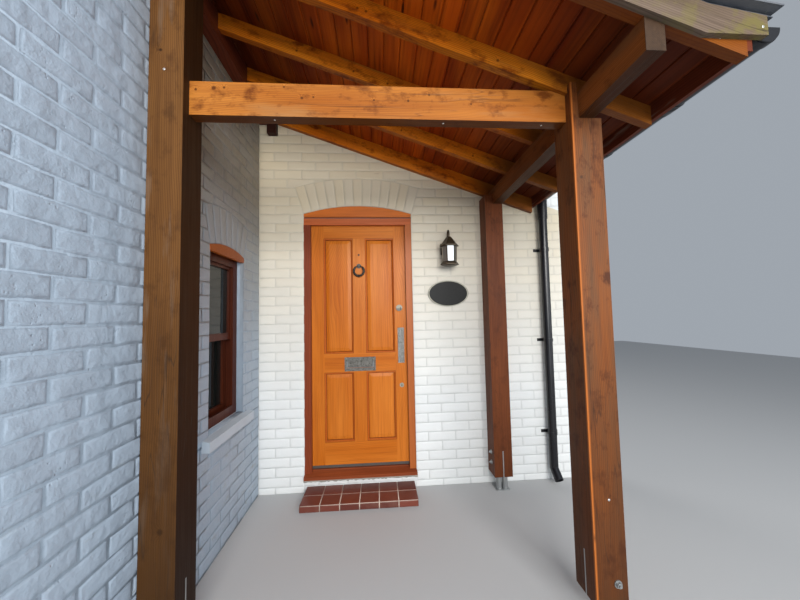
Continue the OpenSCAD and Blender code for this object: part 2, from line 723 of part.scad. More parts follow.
// The curved boards that close the arches over the door frame and the window
arch_board_gap = 2;
module arch_boards() color(frame_wood) {
    upright(frame_back + 4, arch_board_t) intersection() {
        arch_disc(0, door_arch_z, door_arch_r - arch_board_gap);
        rect(-doorway_x, head_z + head_h + arch_board_strip, doorway_x, doorway_spring + doorway_rise);
    }
    box([-doorway_x, frame_back + 16, head_z + head_h],
        [doorway_x, frame_back + 4 + arch_board_t, head_z + head_h + arch_board_strip]);
    along_x(wall_x - arch_board_t - 2, arch_board_t) intersection() {
        arch_disc(window_mid, window_arch_z, window_arch_r - arch_board_gap);
        rect(-window_y - window_w, window_head_z, -window_y, window_spring + window_rise);
    }
    along_x(wall_x - window_back - arch_board_t, window_back - 2) intersection() {
        arch_disc(window_mid, window_arch_z, window_arch_r - arch_board_gap);
        rect(-window_y - window_w, window_head_z + 20, -window_y, window_head_z + 36);
    }
}
window_head_z = window_spring - 36;

// Door leaf: stiles and rails with moulded edges round four panels
function panel_boxes() = [for (x = [-panel_mid, panel_mid]) each [
    [x, leaf_z + bottom_rail, lower_panel_h], [x, upper_panel_z, upper_panel_h]]];

// A rectangle w by h at its back, sloping in by mould_w over its depth, facing -Y
module mould_cut(x, z, w, h, y, d, slope) intersection() {
    translate([x, y, z - cut]) linear_extrude(h + 2 * cut)
        polygon([[-w / 2 - slope, -0.01], [w / 2 + slope, -0.01], [w / 2, d], [-w / 2, d]]);
    along_x(x - w / 2 - slope - cut, w + 2 * (slope + cut))
        polygon([[y - 0.01, z - slope], [y + d, z], [y + d, z + h], [y - 0.01, z + h + slope]]);
}
module leaf_opening(p) {
    w = panel_w - 2 * mould_w;
    h = p[2] - 2 * mould_w;
    z = p[1] + mould_w;
    box([p[0] - w / 2, leaf_front - cut, z], [p[0] + w / 2, leaf_back + cut, z + h]);
    mould_cut(p[0], z, w, h, leaf_front, mould_d, mould_w);
    translate([0, leaf_front + leaf_back, 0]) mirror([0, 1, 0])
        mould_cut(p[0], z, w, h, leaf_front, mould_d, mould_w);
}
module door_leaf() color(door_wood) difference() {
    box([-leaf_x, leaf_front, leaf_z], [leaf_x, leaf_back, leaf_top]);
    for (p = panel_boxes()) leaf_opening(p);
    box([-slot_w / 2, leaf_front - cut, letter_z - slot_h / 2],
        [slot_w / 2, leaf_back + cut, letter_z + slot_h / 2]);
}

// One panel, thin at its edges and raised in the middle on both faces
module raised_profile(w, thin, thick, bevel) polygon([
    [-w / 2, -thin / 2], [-w / 2 + bevel, -thick / 2], [w / 2 - bevel, -thick / 2], [w / 2, -thin / 2],
    [w / 2, thin / 2], [w / 2 - bevel, thick / 2], [-w / 2 + bevel, thick / 2], [-w / 2, thin / 2]]);
module door_panel(p) {
    w = panel_w - 2 * mould_w;
    h = p[2] - 2 * mould_w;
    z = p[1] + mould_w;
    translate([p[0], (leaf_front + leaf_back) / 2, z]) intersection() {
        linear_extrude(h) raised_profile(w, panel_edge_t, panel_field_t, panel_bevel);
        translate([-w / 2, 0, h / 2]) rotate([0, 90, 0]) linear_extrude(w)
            raised_profile(h, panel_edge_t, panel_field_t, panel_bevel);
    }
}
module door_panels() color(door_wood) for (p = panel_boxes()) door_panel(p);

// Butt hinges: outer knuckles, pin and plate on the frame, middle knuckle and plate on the leaf
module hinge_plate(x, z0, z1) box([x, leaf_front + 12, z0], [x + hinge_leaf_t, hinge_y, z1]);
module frame_hinge(z) {
    third = hinge_h / 3;
    rod_z(z, z + hinge_h, hinge_x, hinge_y, pin_r);
    for (k = [0, 2]) {
        rod_z(z + k * third, z + (k + 1) * third, hinge_x, hinge_y, knuckle_r);
        hinge_plate(-rebate_x, z + k * third, z + (k + 1) * third);
    }
    box([-rebate_x, leaf_front + 12, z], [-rebate_x + hinge_leaf_t, hinge_y - knuckle_r - 0.6, z + hinge_h]);
    for (k = [0, 2])
        box([-rebate_x, hinge_y - 3, z + k * third], [hinge_x, hinge_y + 2, z + (k + 1) * third]);
}
module leaf_hinge(z) difference() {
    third = hinge_h / 3;
    union() {
        rod_z(z + third + knuckle_gap, z + 2 * third - knuckle_gap, hinge_x, hinge_y, knuckle_r);
        box([hinge_x, hinge_y - knuckle_r - 0.6, z + third + knuckle_gap],
            [-leaf_x, hinge_y + 2, z + 2 * third - knuckle_gap]);
        box([-leaf_x - hinge_leaf_t, leaf_front + 12, z], [-leaf_x, hinge_y - knuckle_r - 0.6, z + hinge_h]);
    }
    rod_z(z - cut, z + hinge_h + cut, hinge_x, hinge_y, pin_r + pin_gap);
}
module frame_hinges() color(steel) for (z = hinge_zs) frame_hinge(z);
module leaf_hinges() color(steel) for (z = hinge_zs) leaf_hinge(z);

// Letter plate with a flap that swings inward on two stub pins
module letter_plate() color(pewter) difference() {
    union() {
        box([-letter_w / 2, leaf_front - plate_t, letter_z - letter_h / 2],
            [letter_w / 2, leaf_front, letter_z + letter_h / 2]);
        for (side = [-1, 1])
            box([side > 0 ? flap_w / 2 + 1 : -slot_w / 2, leaf_front, flap_z - 6],
                [side > 0 ? slot_w / 2 : -flap_w / 2 - 1, flap_y + 6, flap_z + 5]);
    }
    box([-flap_w / 2 - flap_gap, leaf_front - plate_t - cut, letter_z - flap_h / 2 - flap_gap],
        [flap_w / 2 + flap_gap, leaf_front, letter_z + flap_h / 2 + 2]);
    rod_x(-slot_w / 2, slot_w / 2, flap_y, flap_z, flap_pin_r - 1 + pin_gap);
}
module letter_flap() color(pewter) {
    box([-flap_w / 2, leaf_front - plate_t + 1, letter_z - flap_h / 2], [flap_w / 2, leaf_front, flap_z]);
    box([-flap_w / 2, leaf_front - 1, flap_z - flap_pin_r], [flap_w / 2, flap_y, flap_z + 1]);
    rod_x(-flap_w / 2, flap_w / 2, flap_y, flap_z, flap_pin_r);
    rod_x(-slot_w / 2 + 2, slot_w / 2 - 2, flap_y, flap_z, flap_pin_r - 1);
}

finger_plate_z = upper_panel_z - 92;
module finger_plate() color(steel)
    box([lock_x - finger_plate_w / 2, leaf_front - 3, finger_plate_z],
        [lock_x + finger_plate_w / 2, leaf_front, finger_plate_z + finger_plate_h]);

// Cylinder lock, the key's escutcheon and the spy hole
module door_locks() color(steel) {
    rod_y(leaf_front - cylinder_r / 2, leaf_front, lock_x - 10, upper_panel_z + cylinder_up, cylinder_r);
    rod_y(leaf_front - 4, leaf_front, lock_x, upper_panel_z - keyhole_down, cylinder_r * 0.7);
    rod_y(leaf_front - 3, leaf_front, 0, knocker_z + spy_up, cylinder_r * 0.3);
}

// Ring knocker: a rosette with an eye, and a stud that the ring strikes
knocker_y = leaf_front - 14;
module knocker_mount() color(black) {
    difference() {
        union() {
            rod_y(leaf_front - 5, leaf_front, 0, knocker_z, 20);
            box([-6, knocker_y - 11, knocker_z - 11], [6, leaf_front - 5, knocker_z + 11]);
        }
        rod_x(-6 - cut, 6 + cut, knocker_y, knocker_z, knocker_bar + 1.2);
    }
    rod_y(knocker_y + knocker_bar + 0.3, leaf_front, 0, knocker_z - 2 * knocker_r, 11);
}
module knocker_ring() color(black) translate([0, knocker_y, knocker_z - knocker_r]) rotate([90, 0, 0])
    rotate_extrude() translate([knocker_r, 0]) circle(knocker_bar, $fn = 24);

// Sash window in the side wall: frame, two sashes, glass and stone sill
window_x = wall_x - window_back;
window_y0 = -window_y - window_w;
module window_ring(x0, t, y0, z0, y1, z1, w) along_x(x0 - t, t) difference() {
    rect(y0, z0, y1, z1);
    rect(y0 + w, z0 + w, y1 - w, z1 - w);
}
module window_frame() color(frame_wood) difference() {
    window_ring(window_x, window_frame_d, window_y0 + 1, window_foot, -window_y - 1,
        window_head_z + 16, window_face);
    window_ring(window_x - 18, window_frame_d, window_y0 + sash_in, window_foot + sash_in,
        -window_y - sash_in, window_head_z + 16 - sash_in, window_face);
}
sash_in = 34;
sash_y0 = window_y0 + sash_in;
sash_y1 = -window_y - sash_in;
sash_z0 = window_foot + sash_in;
sash_z1 = window_head_z + 16 - sash_in;
sash_mid = (sash_z0 + sash_z1) / 2;
upper_sash_x = window_x - 18;
lower_sash_x = upper_sash_x - sash_t - 2;
module upper_sash() color(frame_wood)
    window_ring(upper_sash_x, sash_t, sash_y0, sash_mid - sash_w / 2, sash_y1, sash_z1, sash_w);
module lower_sash() color(frame_wood)
    window_ring(lower_sash_x, sash_t, sash_y0, sash_z0, sash_y1, sash_mid + sash_w / 2, sash_w);
module pane(x, z0, z1) box([x - sash_t / 2 - glass_t / 2, sash_y0 + sash_w, z0 + sash_w],
    [x - sash_t / 2 + glass_t / 2, sash_y1 - sash_w, z1 - sash_w]);
module window_glass() color([0.55, 0.62, 0.66, 0.5]) {
    pane(upper_sash_x, sash_mid - sash_w / 2, sash_z1);
    pane(lower_sash_x, sash_z0, sash_mid + sash_w / 2);
}

stone_front = wall_x + stone_sill_out;
stone_rise = 18;
stone_z = window_foot - stone_rise - stone_sill_h;
stone_back = window_x - 45;
module stone_sill() color(paint) {
    upright(window_y0, window_w)
        polygon([[stone_back, stone_z], [stone_front, stone_z], [stone_front, stone_z + stone_sill_h],
            [window_x, window_foot], [stone_back, window_foot]]);
    upright(window_y0 - stone_sill_past, window_w + 2 * stone_sill_past)
        polygon([[wall_x, stone_z], [stone_front, stone_z], [stone_front, stone_z + stone_sill_h],
            [wall_x, stone_z + stone_sill_h
                + stone_rise * stone_sill_out / (stone_sill_out + window_back)]]);
}

// Wall lantern: six tapered panes between a base and a roof, hung from a hooked arm on a back plate
lantern_foot = lantern_z + 35;
lantern_top = lantern_foot + lantern_glass_h;
lantern_hook_r = 29;
lantern_hook_z = lantern_top + 115;
lantern_bar = 6;
module at_lantern(z) translate([lantern_x, -lantern_y, z]) children();
module lantern_base() at_lantern(lantern_z) rotate_extrude($fn = 6)
    polygon([[0, 0], [lantern_r * 0.8, 0], [lantern_r + 18, 8], [lantern_r + 18, 13],
        [lantern_r + 1, 35], [0, 35]]);
module lantern_roof() at_lantern(lantern_top) rotate_extrude($fn = 6)
    polygon([[0, 0], [lantern_r + lantern_flare + 1, 0], [lantern_r + 21, 4], [lantern_r + 21, 9],
        [lantern_r * 0.94, 36], [lantern_r * 0.62, 62], [lantern_r * 0.34, 82], [0, 82]]);
module lantern_bars() for (turn = [0 : 60 : 300])
    at_lantern(lantern_foot) rotate([0, 0, turn]) translate([lantern_r, 0, 0])
        rotate([0, atan(lantern_flare / lantern_glass_h), 0])
            box([-lantern_bar, -lantern_bar / 2, -2], [0, lantern_bar / 2, lantern_glass_h + 2]);
module lantern_arm() {
    hook_y = -lantern_y + lantern_hook_r;
    back_y = hook_y + lantern_hook_r;
    rod_z(lantern_top + 80, lantern_hook_z + 1, lantern_x, -lantern_y, lantern_bar);
    translate([lantern_x, hook_y, lantern_hook_z]) rotate([90, 0, 90])
        rotate_extrude(angle = 180) translate([lantern_hook_r, 0]) circle(lantern_bar, $fn = 24);
    rod_z(lantern_top - 20, lantern_hook_z + 1, lantern_x, back_y, lantern_bar);
    rod_y(back_y, -6, lantern_x, lantern_top - 12, lantern_bar);
    box([lantern_x - lantern_r + 4, -8, lantern_top - 50], [lantern_x + lantern_r - 4, 0, lantern_top + 46]);
}
module wall_lantern() color(black) {
    lantern_base();
    lantern_roof();
    lantern_bars();
    lantern_arm();
}
module lantern_glass() color([0.8, 0.82, 0.78, 0.5]) at_lantern(lantern_foot) rotate_extrude($fn = 6) {
    glass_x = lantern_r - lantern_bar - 0.5;
    polygon([[glass_x - 3, 0], [glass_x, 0], [glass_x + lantern_flare, lantern_glass_h],
        [glass_x + lantern_flare - 3, lantern_glass_h]]);
}

// Oval plaque, left bare
module plaque_oval(rim, t0, t1) translate([lantern_x, -t0, plaque_z]) rotate([90, 0, 0])
    linear_extrude(t1 - t0)
        polygon([for (a = [0 : 7.5 : 352.5])
            [(plaque_w / 2 - rim) * cos(a), (plaque_h / 2 - rim) * sin(a)]]);
module house_plaque() color(black) difference() {
    plaque_oval(0, 0, plaque_t);
    plaque_oval(plaque_rim, plaque_t - 2, plaque_t + cut);
}

door_wall_left();
door_wall_right();
door_wall_head();
door_wall_foot();
door_arch();
side_wall_front();
side_wall_back();
side_wall_head();
side_wall_foot();
window_arch();
front_left_post();
front_right_post();
back_right_post();
post_shoes();
post_bolts();
tie_beam();
eaves_beam();
wall_ledger();
corner_bearer();
back_rafter();
second_rafter();
third_rafter();
post_rafter();
verge_rafter();
roof_boards();
roof_slates();
lead_flashing();
bargeboard();
fascia();
gutter();
gutter_brackets();
downpipe();
pipe_clips();
door_step();
door_jambs();
door_head();
door_sill();
arch_boards();
frame_hinges();
door_leaf();
door_panels();
leaf_hinges();
letter_plate();
letter_flap();
finger_plate();
door_locks();
knocker_mount();
knocker_ring();
window_frame();
upper_sash();
lower_sash();
window_glass();
stone_sill();
wall_lantern();
lantern_glass();
house_plaque();
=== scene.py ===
"""Dresses the entrance porch: painted brickwork, stained timber, slates, tiles, glass and metalwork."""

import math
import random

import bpy
from mathutils import Matrix, Vector

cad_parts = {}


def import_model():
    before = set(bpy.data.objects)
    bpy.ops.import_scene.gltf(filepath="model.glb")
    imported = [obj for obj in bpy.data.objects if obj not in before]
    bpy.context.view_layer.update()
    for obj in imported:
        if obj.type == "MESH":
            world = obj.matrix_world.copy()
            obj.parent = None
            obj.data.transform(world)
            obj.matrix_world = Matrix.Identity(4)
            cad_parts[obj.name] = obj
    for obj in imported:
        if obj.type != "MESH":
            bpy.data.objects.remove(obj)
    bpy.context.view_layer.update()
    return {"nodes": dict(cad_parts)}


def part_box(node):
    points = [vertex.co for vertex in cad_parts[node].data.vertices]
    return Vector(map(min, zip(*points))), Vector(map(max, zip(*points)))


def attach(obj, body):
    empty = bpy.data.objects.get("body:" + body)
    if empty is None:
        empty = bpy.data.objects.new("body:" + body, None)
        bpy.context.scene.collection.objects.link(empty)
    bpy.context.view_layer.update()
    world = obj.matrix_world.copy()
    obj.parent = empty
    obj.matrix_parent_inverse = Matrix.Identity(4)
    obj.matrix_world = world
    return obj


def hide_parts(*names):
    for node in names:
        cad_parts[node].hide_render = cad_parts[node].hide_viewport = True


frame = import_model()
nodes = frame["nodes"]

# --- sizes, in metres, as the part has them
WALL_T = 0.230
SIDE_X = -0.810
DOOR_END = 1.900
SIDE_END = -1.982
DOORWAY_X = 0.455
DOORWAY_FOOT = 0.098
DOOR_SPRING, DOOR_RISE = 2.272, 0.068
ARCH_RING = 0.229
WIN_Y0, WIN_Y1 = -0.745, -0.288
WIN_FOOT, WIN_SPRING, WIN_RISE = 0.742, 1.840, 0.033
SILL_Z0 = 0.668
PITCH = math.radians(19.35)
FALL, PLUMB = math.tan(PITCH), 1 / math.cos(PITCH)
BEAM_X, BEAM_TOP = 1.119, 2.430
RAFTER_H, BOARD_T, SLATE_T = 0.089, 0.018, 0.022
VERGE_Y, TAIL_X = 1.638, 1.505
WALL_OVER = 0.270
COURSE, BRICK, JOINT = 0.0762, 0.2286, 0.010
LEAF_FRONT, LEAF_X = 0.055, 0.4065
LEAF_Z, LEAF_TOP = 0.1615, 2.1845
BOTTOM_RAIL, TOP_RAIL, LOCK_RAIL = 0.205, 0.117, (0.772, 0.930)
PANEL_X, PANEL_HALF = 0.17475, 0.12175
LOCK_X, CYLINDER_Z, KEY_Z, SPYHOLE_OVER = 0.3475, 1.460, 0.811, 1.85


def boards_z(x):
    return BEAM_TOP - (x - BEAM_X) * FALL + RAFTER_H * PLUMB


def covering_z(x):
    return boards_z(x) + (BOARD_T + SLATE_T) * PLUMB


WALL_TOP = covering_z(SIDE_X) + WALL_OVER

# --- camera, fitted to the photograph: lengths in pixels, sensor in millimetres, turns in degrees
PHOTO_WIDTH, FOCAL, SENSOR = 800, 313.7, 36
PAN, TILT, ROLL = -3.83, 3.10, 1.22
EYE = (0.167, -2.630, 1.387)


def set_camera():
    data = bpy.data.cameras.new("camera")
    data.sensor_width = SENSOR
    data.lens = FOCAL * SENSOR / PHOTO_WIDTH
    data.clip_start, data.clip_end = 0.05, 100
    cam = bpy.data.objects.new("camera", data)
    bpy.context.scene.collection.objects.link(cam)
    pan, tilt, roll = (Matrix.Rotation(math.radians(by), 3, axis)
                       for by, axis in ((PAN, "Z"), (TILT, "X"), (ROLL, "Y")))
    turn = pan @ tilt @ roll
    pose = Matrix((turn.col[0], turn.col[2], -turn.col[1])).transposed().to_4x4()
    pose.translation = EYE
    cam.matrix_world = pose
    bpy.context.scene.camera = cam


set_camera()


# --- shader graphs
class Graph:
    """A material's node tree, with short calls for the nodes used here."""

    def __init__(self, name):
        self.mat = bpy.data.materials.new(name)
        self.mat.use_nodes = True
        self.tree = self.mat.node_tree
        self.tree.nodes.clear()
        out = self.tree.nodes.new("ShaderNodeOutputMaterial")
        self.shader = self.tree.nodes.new("ShaderNodeBsdfPrincipled")
        self.tree.links.new(self.shader.outputs[0], out.inputs[0])

    def node(self, kind, inputs=(), **props):
        made = self.tree.nodes.new("ShaderNode" + kind)
        for key, value in props.items():
            setattr(made, key, value)
        for key, value in dict(inputs).items():
            self.put(made.inputs[key], value)
        return made

    def put(self, socket, value):
        if isinstance(value, bpy.types.NodeSocket):
            self.tree.links.new(value, socket)
        else:
            socket.default_value = value

    def set(self, **values):
        for key, value in values.items():
            self.put(self.shader.inputs[key.replace("_", " ")], value)

    def math(self, op, a, b=0.0, c=0.0):
        return self.node("Math", {0: a, 1: b, 2: c}, operation=op).outputs[0]

    def plus(self, a, b):
        return self.math("ADD", a, b)

    def minus(self, a, b):
        return self.math("SUBTRACT", a, b)

    def times(self, a, b):
        return self.math("MULTIPLY", a, b)

    def apart(self, a, b):
        return self.math("ABSOLUTE", self.minus(a, b))

    def vector(self, op, a, b=(0, 0, 0), out="Value"):
        return self.node("VectorMath", {0: a, 1: b}, operation=op).outputs[out]

    def coords(self):
        return self.node("TexCoord").outputs["Object"]

    def mapped(self, vector, scale=(1, 1, 1), turn=(0, 0, 0), move=(0, 0, 0)):
        return self.node("Mapping", {"Vector": vector, "Scale": scale, "Rotation": turn,
                                     "Location": move}).outputs[0]

    def noise(self, vector, scale, detail=3.0, rough=0.5, distort=0.0):
        return self.node("TexNoise", {"Vector": vector, "Scale": scale, "Detail": detail,
                                      "Roughness": rough, "Distortion": distort}).outputs[0]

    def grain(self, vector, scale, detail=3.0, rough=0.5, move=(0, 0, 0)):
        """Noise with a scale of its own along each axis."""
        return self.noise(self.mapped(vector, scale, move=move), 1.0, detail, rough)

    def cells(self, vector, scale):
        return self.node("TexVoronoi", {"Vector": vector, "Scale": scale}).outputs["Distance"]

    def span(self, value, a, b, c=0.0, d=1.0):
        return self.node("MapRange", {0: value, 1: a, 2: b, 3: c, 4: d}).outputs[0]

    def mix(self, factor, a, b, blend="MIX"):
        made = self.node("Mix", {0: factor}, data_type="RGBA", blend_type=blend)
        self.put(made.inputs[6], self.colour(a))
        self.put(made.inputs[7], self.colour(b))
        return made.outputs[2]

    @staticmethod
    def colour(c):
        return (*c, 1.0) if isinstance(c, tuple) and len(c) == 3 else c

    def ramp(self, value, *stops):
        """Greys at given places."""
        made = self.node("ValToRGB", {0: value})
        points = made.color_ramp.elements
        while len(points) < len(stops):
            points.new(0.5)
        for point, (at, grey) in zip(points, stops):
            point.position = at
            point.color = (grey, grey, grey, 1.0)
        return made.outputs[0]

    def bump(self, height, strength, distance):
        return self.node("Bump", {"Height": height, "Strength": strength, "Distance": distance}).outputs[0]

    def split(self, vector):
        return self.node("SeparateXYZ", {0: vector}).outputs

    def tone(self, name="tone"):
        return self.node("Attribute", attribute_name=name).outputs["Fac"]


def shaded(colour, by):
    return tuple(min(1.0, c * by) for c in colour)


GRAIN_TURN = {"x": (0, 0, 0), "y": (0, 0, math.pi / 2), "z": (0, math.pi / 2, 0), "slope": (0, -PITCH, 0)}
RING_W, GRAIN_DEPTH, FIBRE = 0.007, 0.0006, 0.35
CRACK = (0.012, 0.008, 0.006)


def wood(name, base, dark, light, along="x", seed=0.0, rings=0.5, knots=(), grey=0.0,
         grey_colour=(0.30, 0.27, 0.23), rough=0.5, cracks=0.0, coat=0.0, foot=0.0, blotch=0.0,
         lichen=0.0, end=None, highlight_arris=None, painted_shade_faces=(), tail=None, right=None):
    """Stained timber: rings and fibres along the piece, drying cracks and greying.

    knots: (x, y, z, radius) of each. foot: how dark its lowest part is. end: y of a sawn end.
    arris: (x, y) of an edge with a painted highlight along it. hidden: directions of faces darkened with
    painted shade, with amounts.
    tail: from where to where along x it weathers, and to what colour. right: a lighter tint screened over x >
    0, a painted highlight on that side.
    """
    g = Graph(name)
    at = g.coords()
    p = g.mapped(at, turn=GRAIN_TURN[along], move=(seed * 1.7, seed * 0.31, seed * 0.13))
    y, z = g.split(p)[1:]
    bend = g.grain(p, (0.9, 2.5, 2.5), 2.0)
    knot = None
    for kx, ky, kz, kr in knots:
        away = g.vector("DISTANCE", at, (kx, ky, kz))
        near = g.span(away, kr * 0.6, kr * 4.0, 1.0, 0.0)
        knot = near if knot is None else g.math("MAXIMUM", knot, near)
    depth = g.math("SQRT", g.plus(g.math("POWER", g.plus(y, 0.11 + seed * 0.01), 2.0),
                                  g.math("POWER", g.plus(z, 0.07), 2.0)))
    depth = g.plus(depth, g.times(bend, 0.10))
    if knot is not None:
        depth = g.plus(depth, g.times(g.math("POWER", knot, 2.0), 0.018))
    saw = g.math("FRACT", g.math("DIVIDE", depth, RING_W))
    line = g.ramp(saw, (0.0, 0.0), (0.55, 0.25), (0.86, 1.0), (1.0, 0.05))
    streak = g.grain(p, (2.5, 70, 70), 5.0, 0.6)
    broad = g.grain(p, (1.2, 7, 7))
    colour = g.mix(g.span(broad, 0.3, 0.7), base, light)
    colour = g.mix(g.times(line, rings), colour, dark)
    colour = g.mix(g.span(streak, 0.45, 0.75, 0.0, FIBRE), colour, dark)
    height = g.plus(g.times(streak, 0.7), g.times(line, -0.3))
    if knot is not None:
        colour = g.mix(g.span(knot, 0.80, 1.0, 0.0, 0.85), colour, shaded(dark, 0.55))
    if grey:
        worn = g.grain(p, (1.6, 14, 14), 4.0, 0.6, (3, 1, 2))
        colour = g.mix(g.span(worn, 0.60 - 0.3 * grey, 0.75, 0.0, 0.9), colour, grey_colour)
    if blotch:
        spots = g.grain(p, (9, 16, 16), 4.0, 0.65, (2, 4, 9))
        colour = g.mix(g.span(spots, 0.52, 0.68, 0.0, blotch), colour, dark)
    if foot:
        colour = g.mix(g.span(g.split(at)[2], 0.1, 1.5, foot, 0.0), colour, shaded(base, 0.35))
    if lichen:
        bloom = g.noise(at, 9.0, 5.0, 0.7)
        spread = g.span(g.split(at)[0], 0.9, 1.5, 0.0, lichen)
        colour = g.mix(g.times(g.span(bloom, 0.48, 0.60), spread), colour, (0.13, 0.110, 0.030))
    if tail:
        start, stop, worn_colour = tail
        colour = g.mix(g.span(g.split(at)[0], start, stop, 0.0, 0.85), colour, worn_colour)
    # Painted light: the side at x > 0 made lighter
    if right:
        colour = g.mix(g.math("GREATER_THAN", g.split(at)[0], 0.0), colour, right, "SCREEN")
    # Faces turned the given ways are darkened: painted shade
    facing = g.node("TexCoord").outputs["Normal"]
    for way, amount in painted_shade_faces:
        turned = g.vector("DOT_PRODUCT", facing, way)
        colour = g.mix(g.span(turned, 0.6, 0.9, 0.0, amount), colour, shaded(dark, 0.5))
    # A painted highlight along one edge of the piece
    if highlight_arris:
        flat = g.vector("MULTIPLY", at, (1, 1, 0), "Vector")
        away = g.vector("DISTANCE", flat, (*highlight_arris, 0))
        colour = g.mix(g.span(away, 0.004, 0.011, 0.9, 0.0), colour, shaded(light, 1.7))
    if end is not None:
        cut = g.math("LESS_THAN", g.split(at)[1], end + 0.002)
        speck = g.noise(at, 70.0, 4.0, 0.7)
        colour = g.mix(cut, colour, g.mix(speck, (0.022, 0.011, 0.006), (0.066, 0.036, 0.019)))
    if cracks:
        split = g.grain(p, (1.3, 26, 26), 1.0, 0.4, (7, 5, 3))
        cut = g.span(g.apart(split, 0.5), 0.0, 0.012, 1.0, 0.0)
        gate = g.span(g.grain(p, (1.2, 5, 5), move=(1, 8, 4)), 0.50, 0.58, 0.0, cracks)
        cut = g.times(cut, gate)
        colour = g.mix(cut, colour, CRACK)
        height = g.minus(height, g.times(cut, 4.0))
    g.set(Base_Color=colour, Roughness=g.span(streak, 0.3, 0.8, rough - 0.08, rough + 0.10),
          Normal=g.bump(height, 0.6, GRAIN_DEPTH), Specular_IOR_Level=0.15)
    if coat:
        g.set(Coat_Weight=coat, Coat_Roughness=0.28)
    return g.mat


def paint(name, colour, pits, roof_shade_tint, lumps, joint, stain=0.0, rough=0.62, fines=1.0):
    """Masonry paint on brick: pitted, brushed, darker in the joints with dirt and painted shade.

    roof_shade_tint: a tint of painted shade, warmed as by light bounced off the timber, that it has under the
    roof, and the levels between which that comes in.
    """
    g = Graph(name)
    at = g.coords()
    tone = g.tone()
    low = g.noise(at, 1.7)
    mid = g.noise(at, 28.0, 4.0, 0.55)
    fine = g.noise(at, 190.0, 3.0, 0.6)
    holes = g.cells(at, 70.0)
    gate = g.span(g.noise(at, 11.0, 2.0), 0.52, 0.66)
    pit = g.times(g.span(holes, 0.0, 0.28, 1.0, 0.0), gate)
    broad = g.noise(at, 13.0, 5.0, 0.5)
    shade = g.mix(g.span(low, 0.35, 0.65, 0.0, 0.5), colour, shaded(colour, 0.90))
    x, y, z = g.split(at)
    # Painted shade and warm bounce light under the roof: the tint comes in with height, under the boards and
    # inside the porch
    below = g.minus(boards_z(0.0), g.times(x, FALL))
    roof_shade = g.times(g.span(z, *roof_shade_tint[1]), g.span(y, -1.40, -0.90))
    for value, least in ((below, z), (0.03, y), (x, SIDE_X - 0.03)):
        roof_shade = g.times(roof_shade, g.math("GREATER_THAN", value, least))
    shade = g.mix(roof_shade, shade, roof_shade_tint[0])
    shade = g.mix(g.span(tone, 0.0, 1.0, 0.0, 0.16), shade, shaded(colour, 0.70))
    shade = g.mix(g.times(pit, 0.10), shade, shaded(colour, 0.55))
    # Darker in the joints and on the core behind the bricks: partly dirt, partly painted shade of the
    # recesses
    shade = g.mix(g.times(g.tone("joint"), joint), shade, shaded(colour, 0.42))
    if stain:
        moss = g.noise(g.mapped(at, (1, 3.2, 9.0)), 2.2, 5.0, 0.65)
        low_down = g.span(z, 0.15, 1.1, 1.0, 0.0)
        shade = g.mix(g.times(g.span(moss, 0.60, 0.70, 0.0, stain), low_down), shade, (0.20, 0.17, 0.09))
    height = g.plus(g.times(mid, 0.7 * fines), g.times(fine, 0.25 * fines))
    height = g.plus(height, g.times(broad, 1.6))
    height = g.minus(height, g.times(pit, 0.35))
    g.set(Base_Color=shade, Roughness=rough, Normal=g.bump(height, lumps, pits))
    return g.mat


def plain(name, colour, rough, metal=0.0, bump=0.0, scale=60.0, vary=0.15, dirt=None):
    """Metal, plastic or stone with worn variation and fine relief."""
    g = Graph(name)
    at = g.coords()
    a = g.noise(at, scale * 0.12, 4.0)
    b = g.noise(at, scale, 4.0, 0.6)
    shade = g.mix(g.span(a, 0.3, 0.7), shaded(colour, 1 - vary), shaded(colour, 1 + vary))
    if dirt is not None:
        shade = g.mix(g.span(b, 0.55, 0.75, 0.0, 0.6), shade, dirt)
    g.set(Base_Color=shade, Metallic=metal, Roughness=g.span(a, 0.3, 0.7, rough * 0.8, rough * 1.2))
    if bump:
        g.set(Normal=g.bump(b, 0.5, bump))
    return g.mat


# --- meshes
def sleeve(rows, n):
    """The faces between closed rows of n points each."""
    return [(j * n + k, j * n + (k + 1) % n, (j + 1) * n + (k + 1) % n, (j + 1) * n + k)
            for j in range(rows - 1) for k in range(n)]


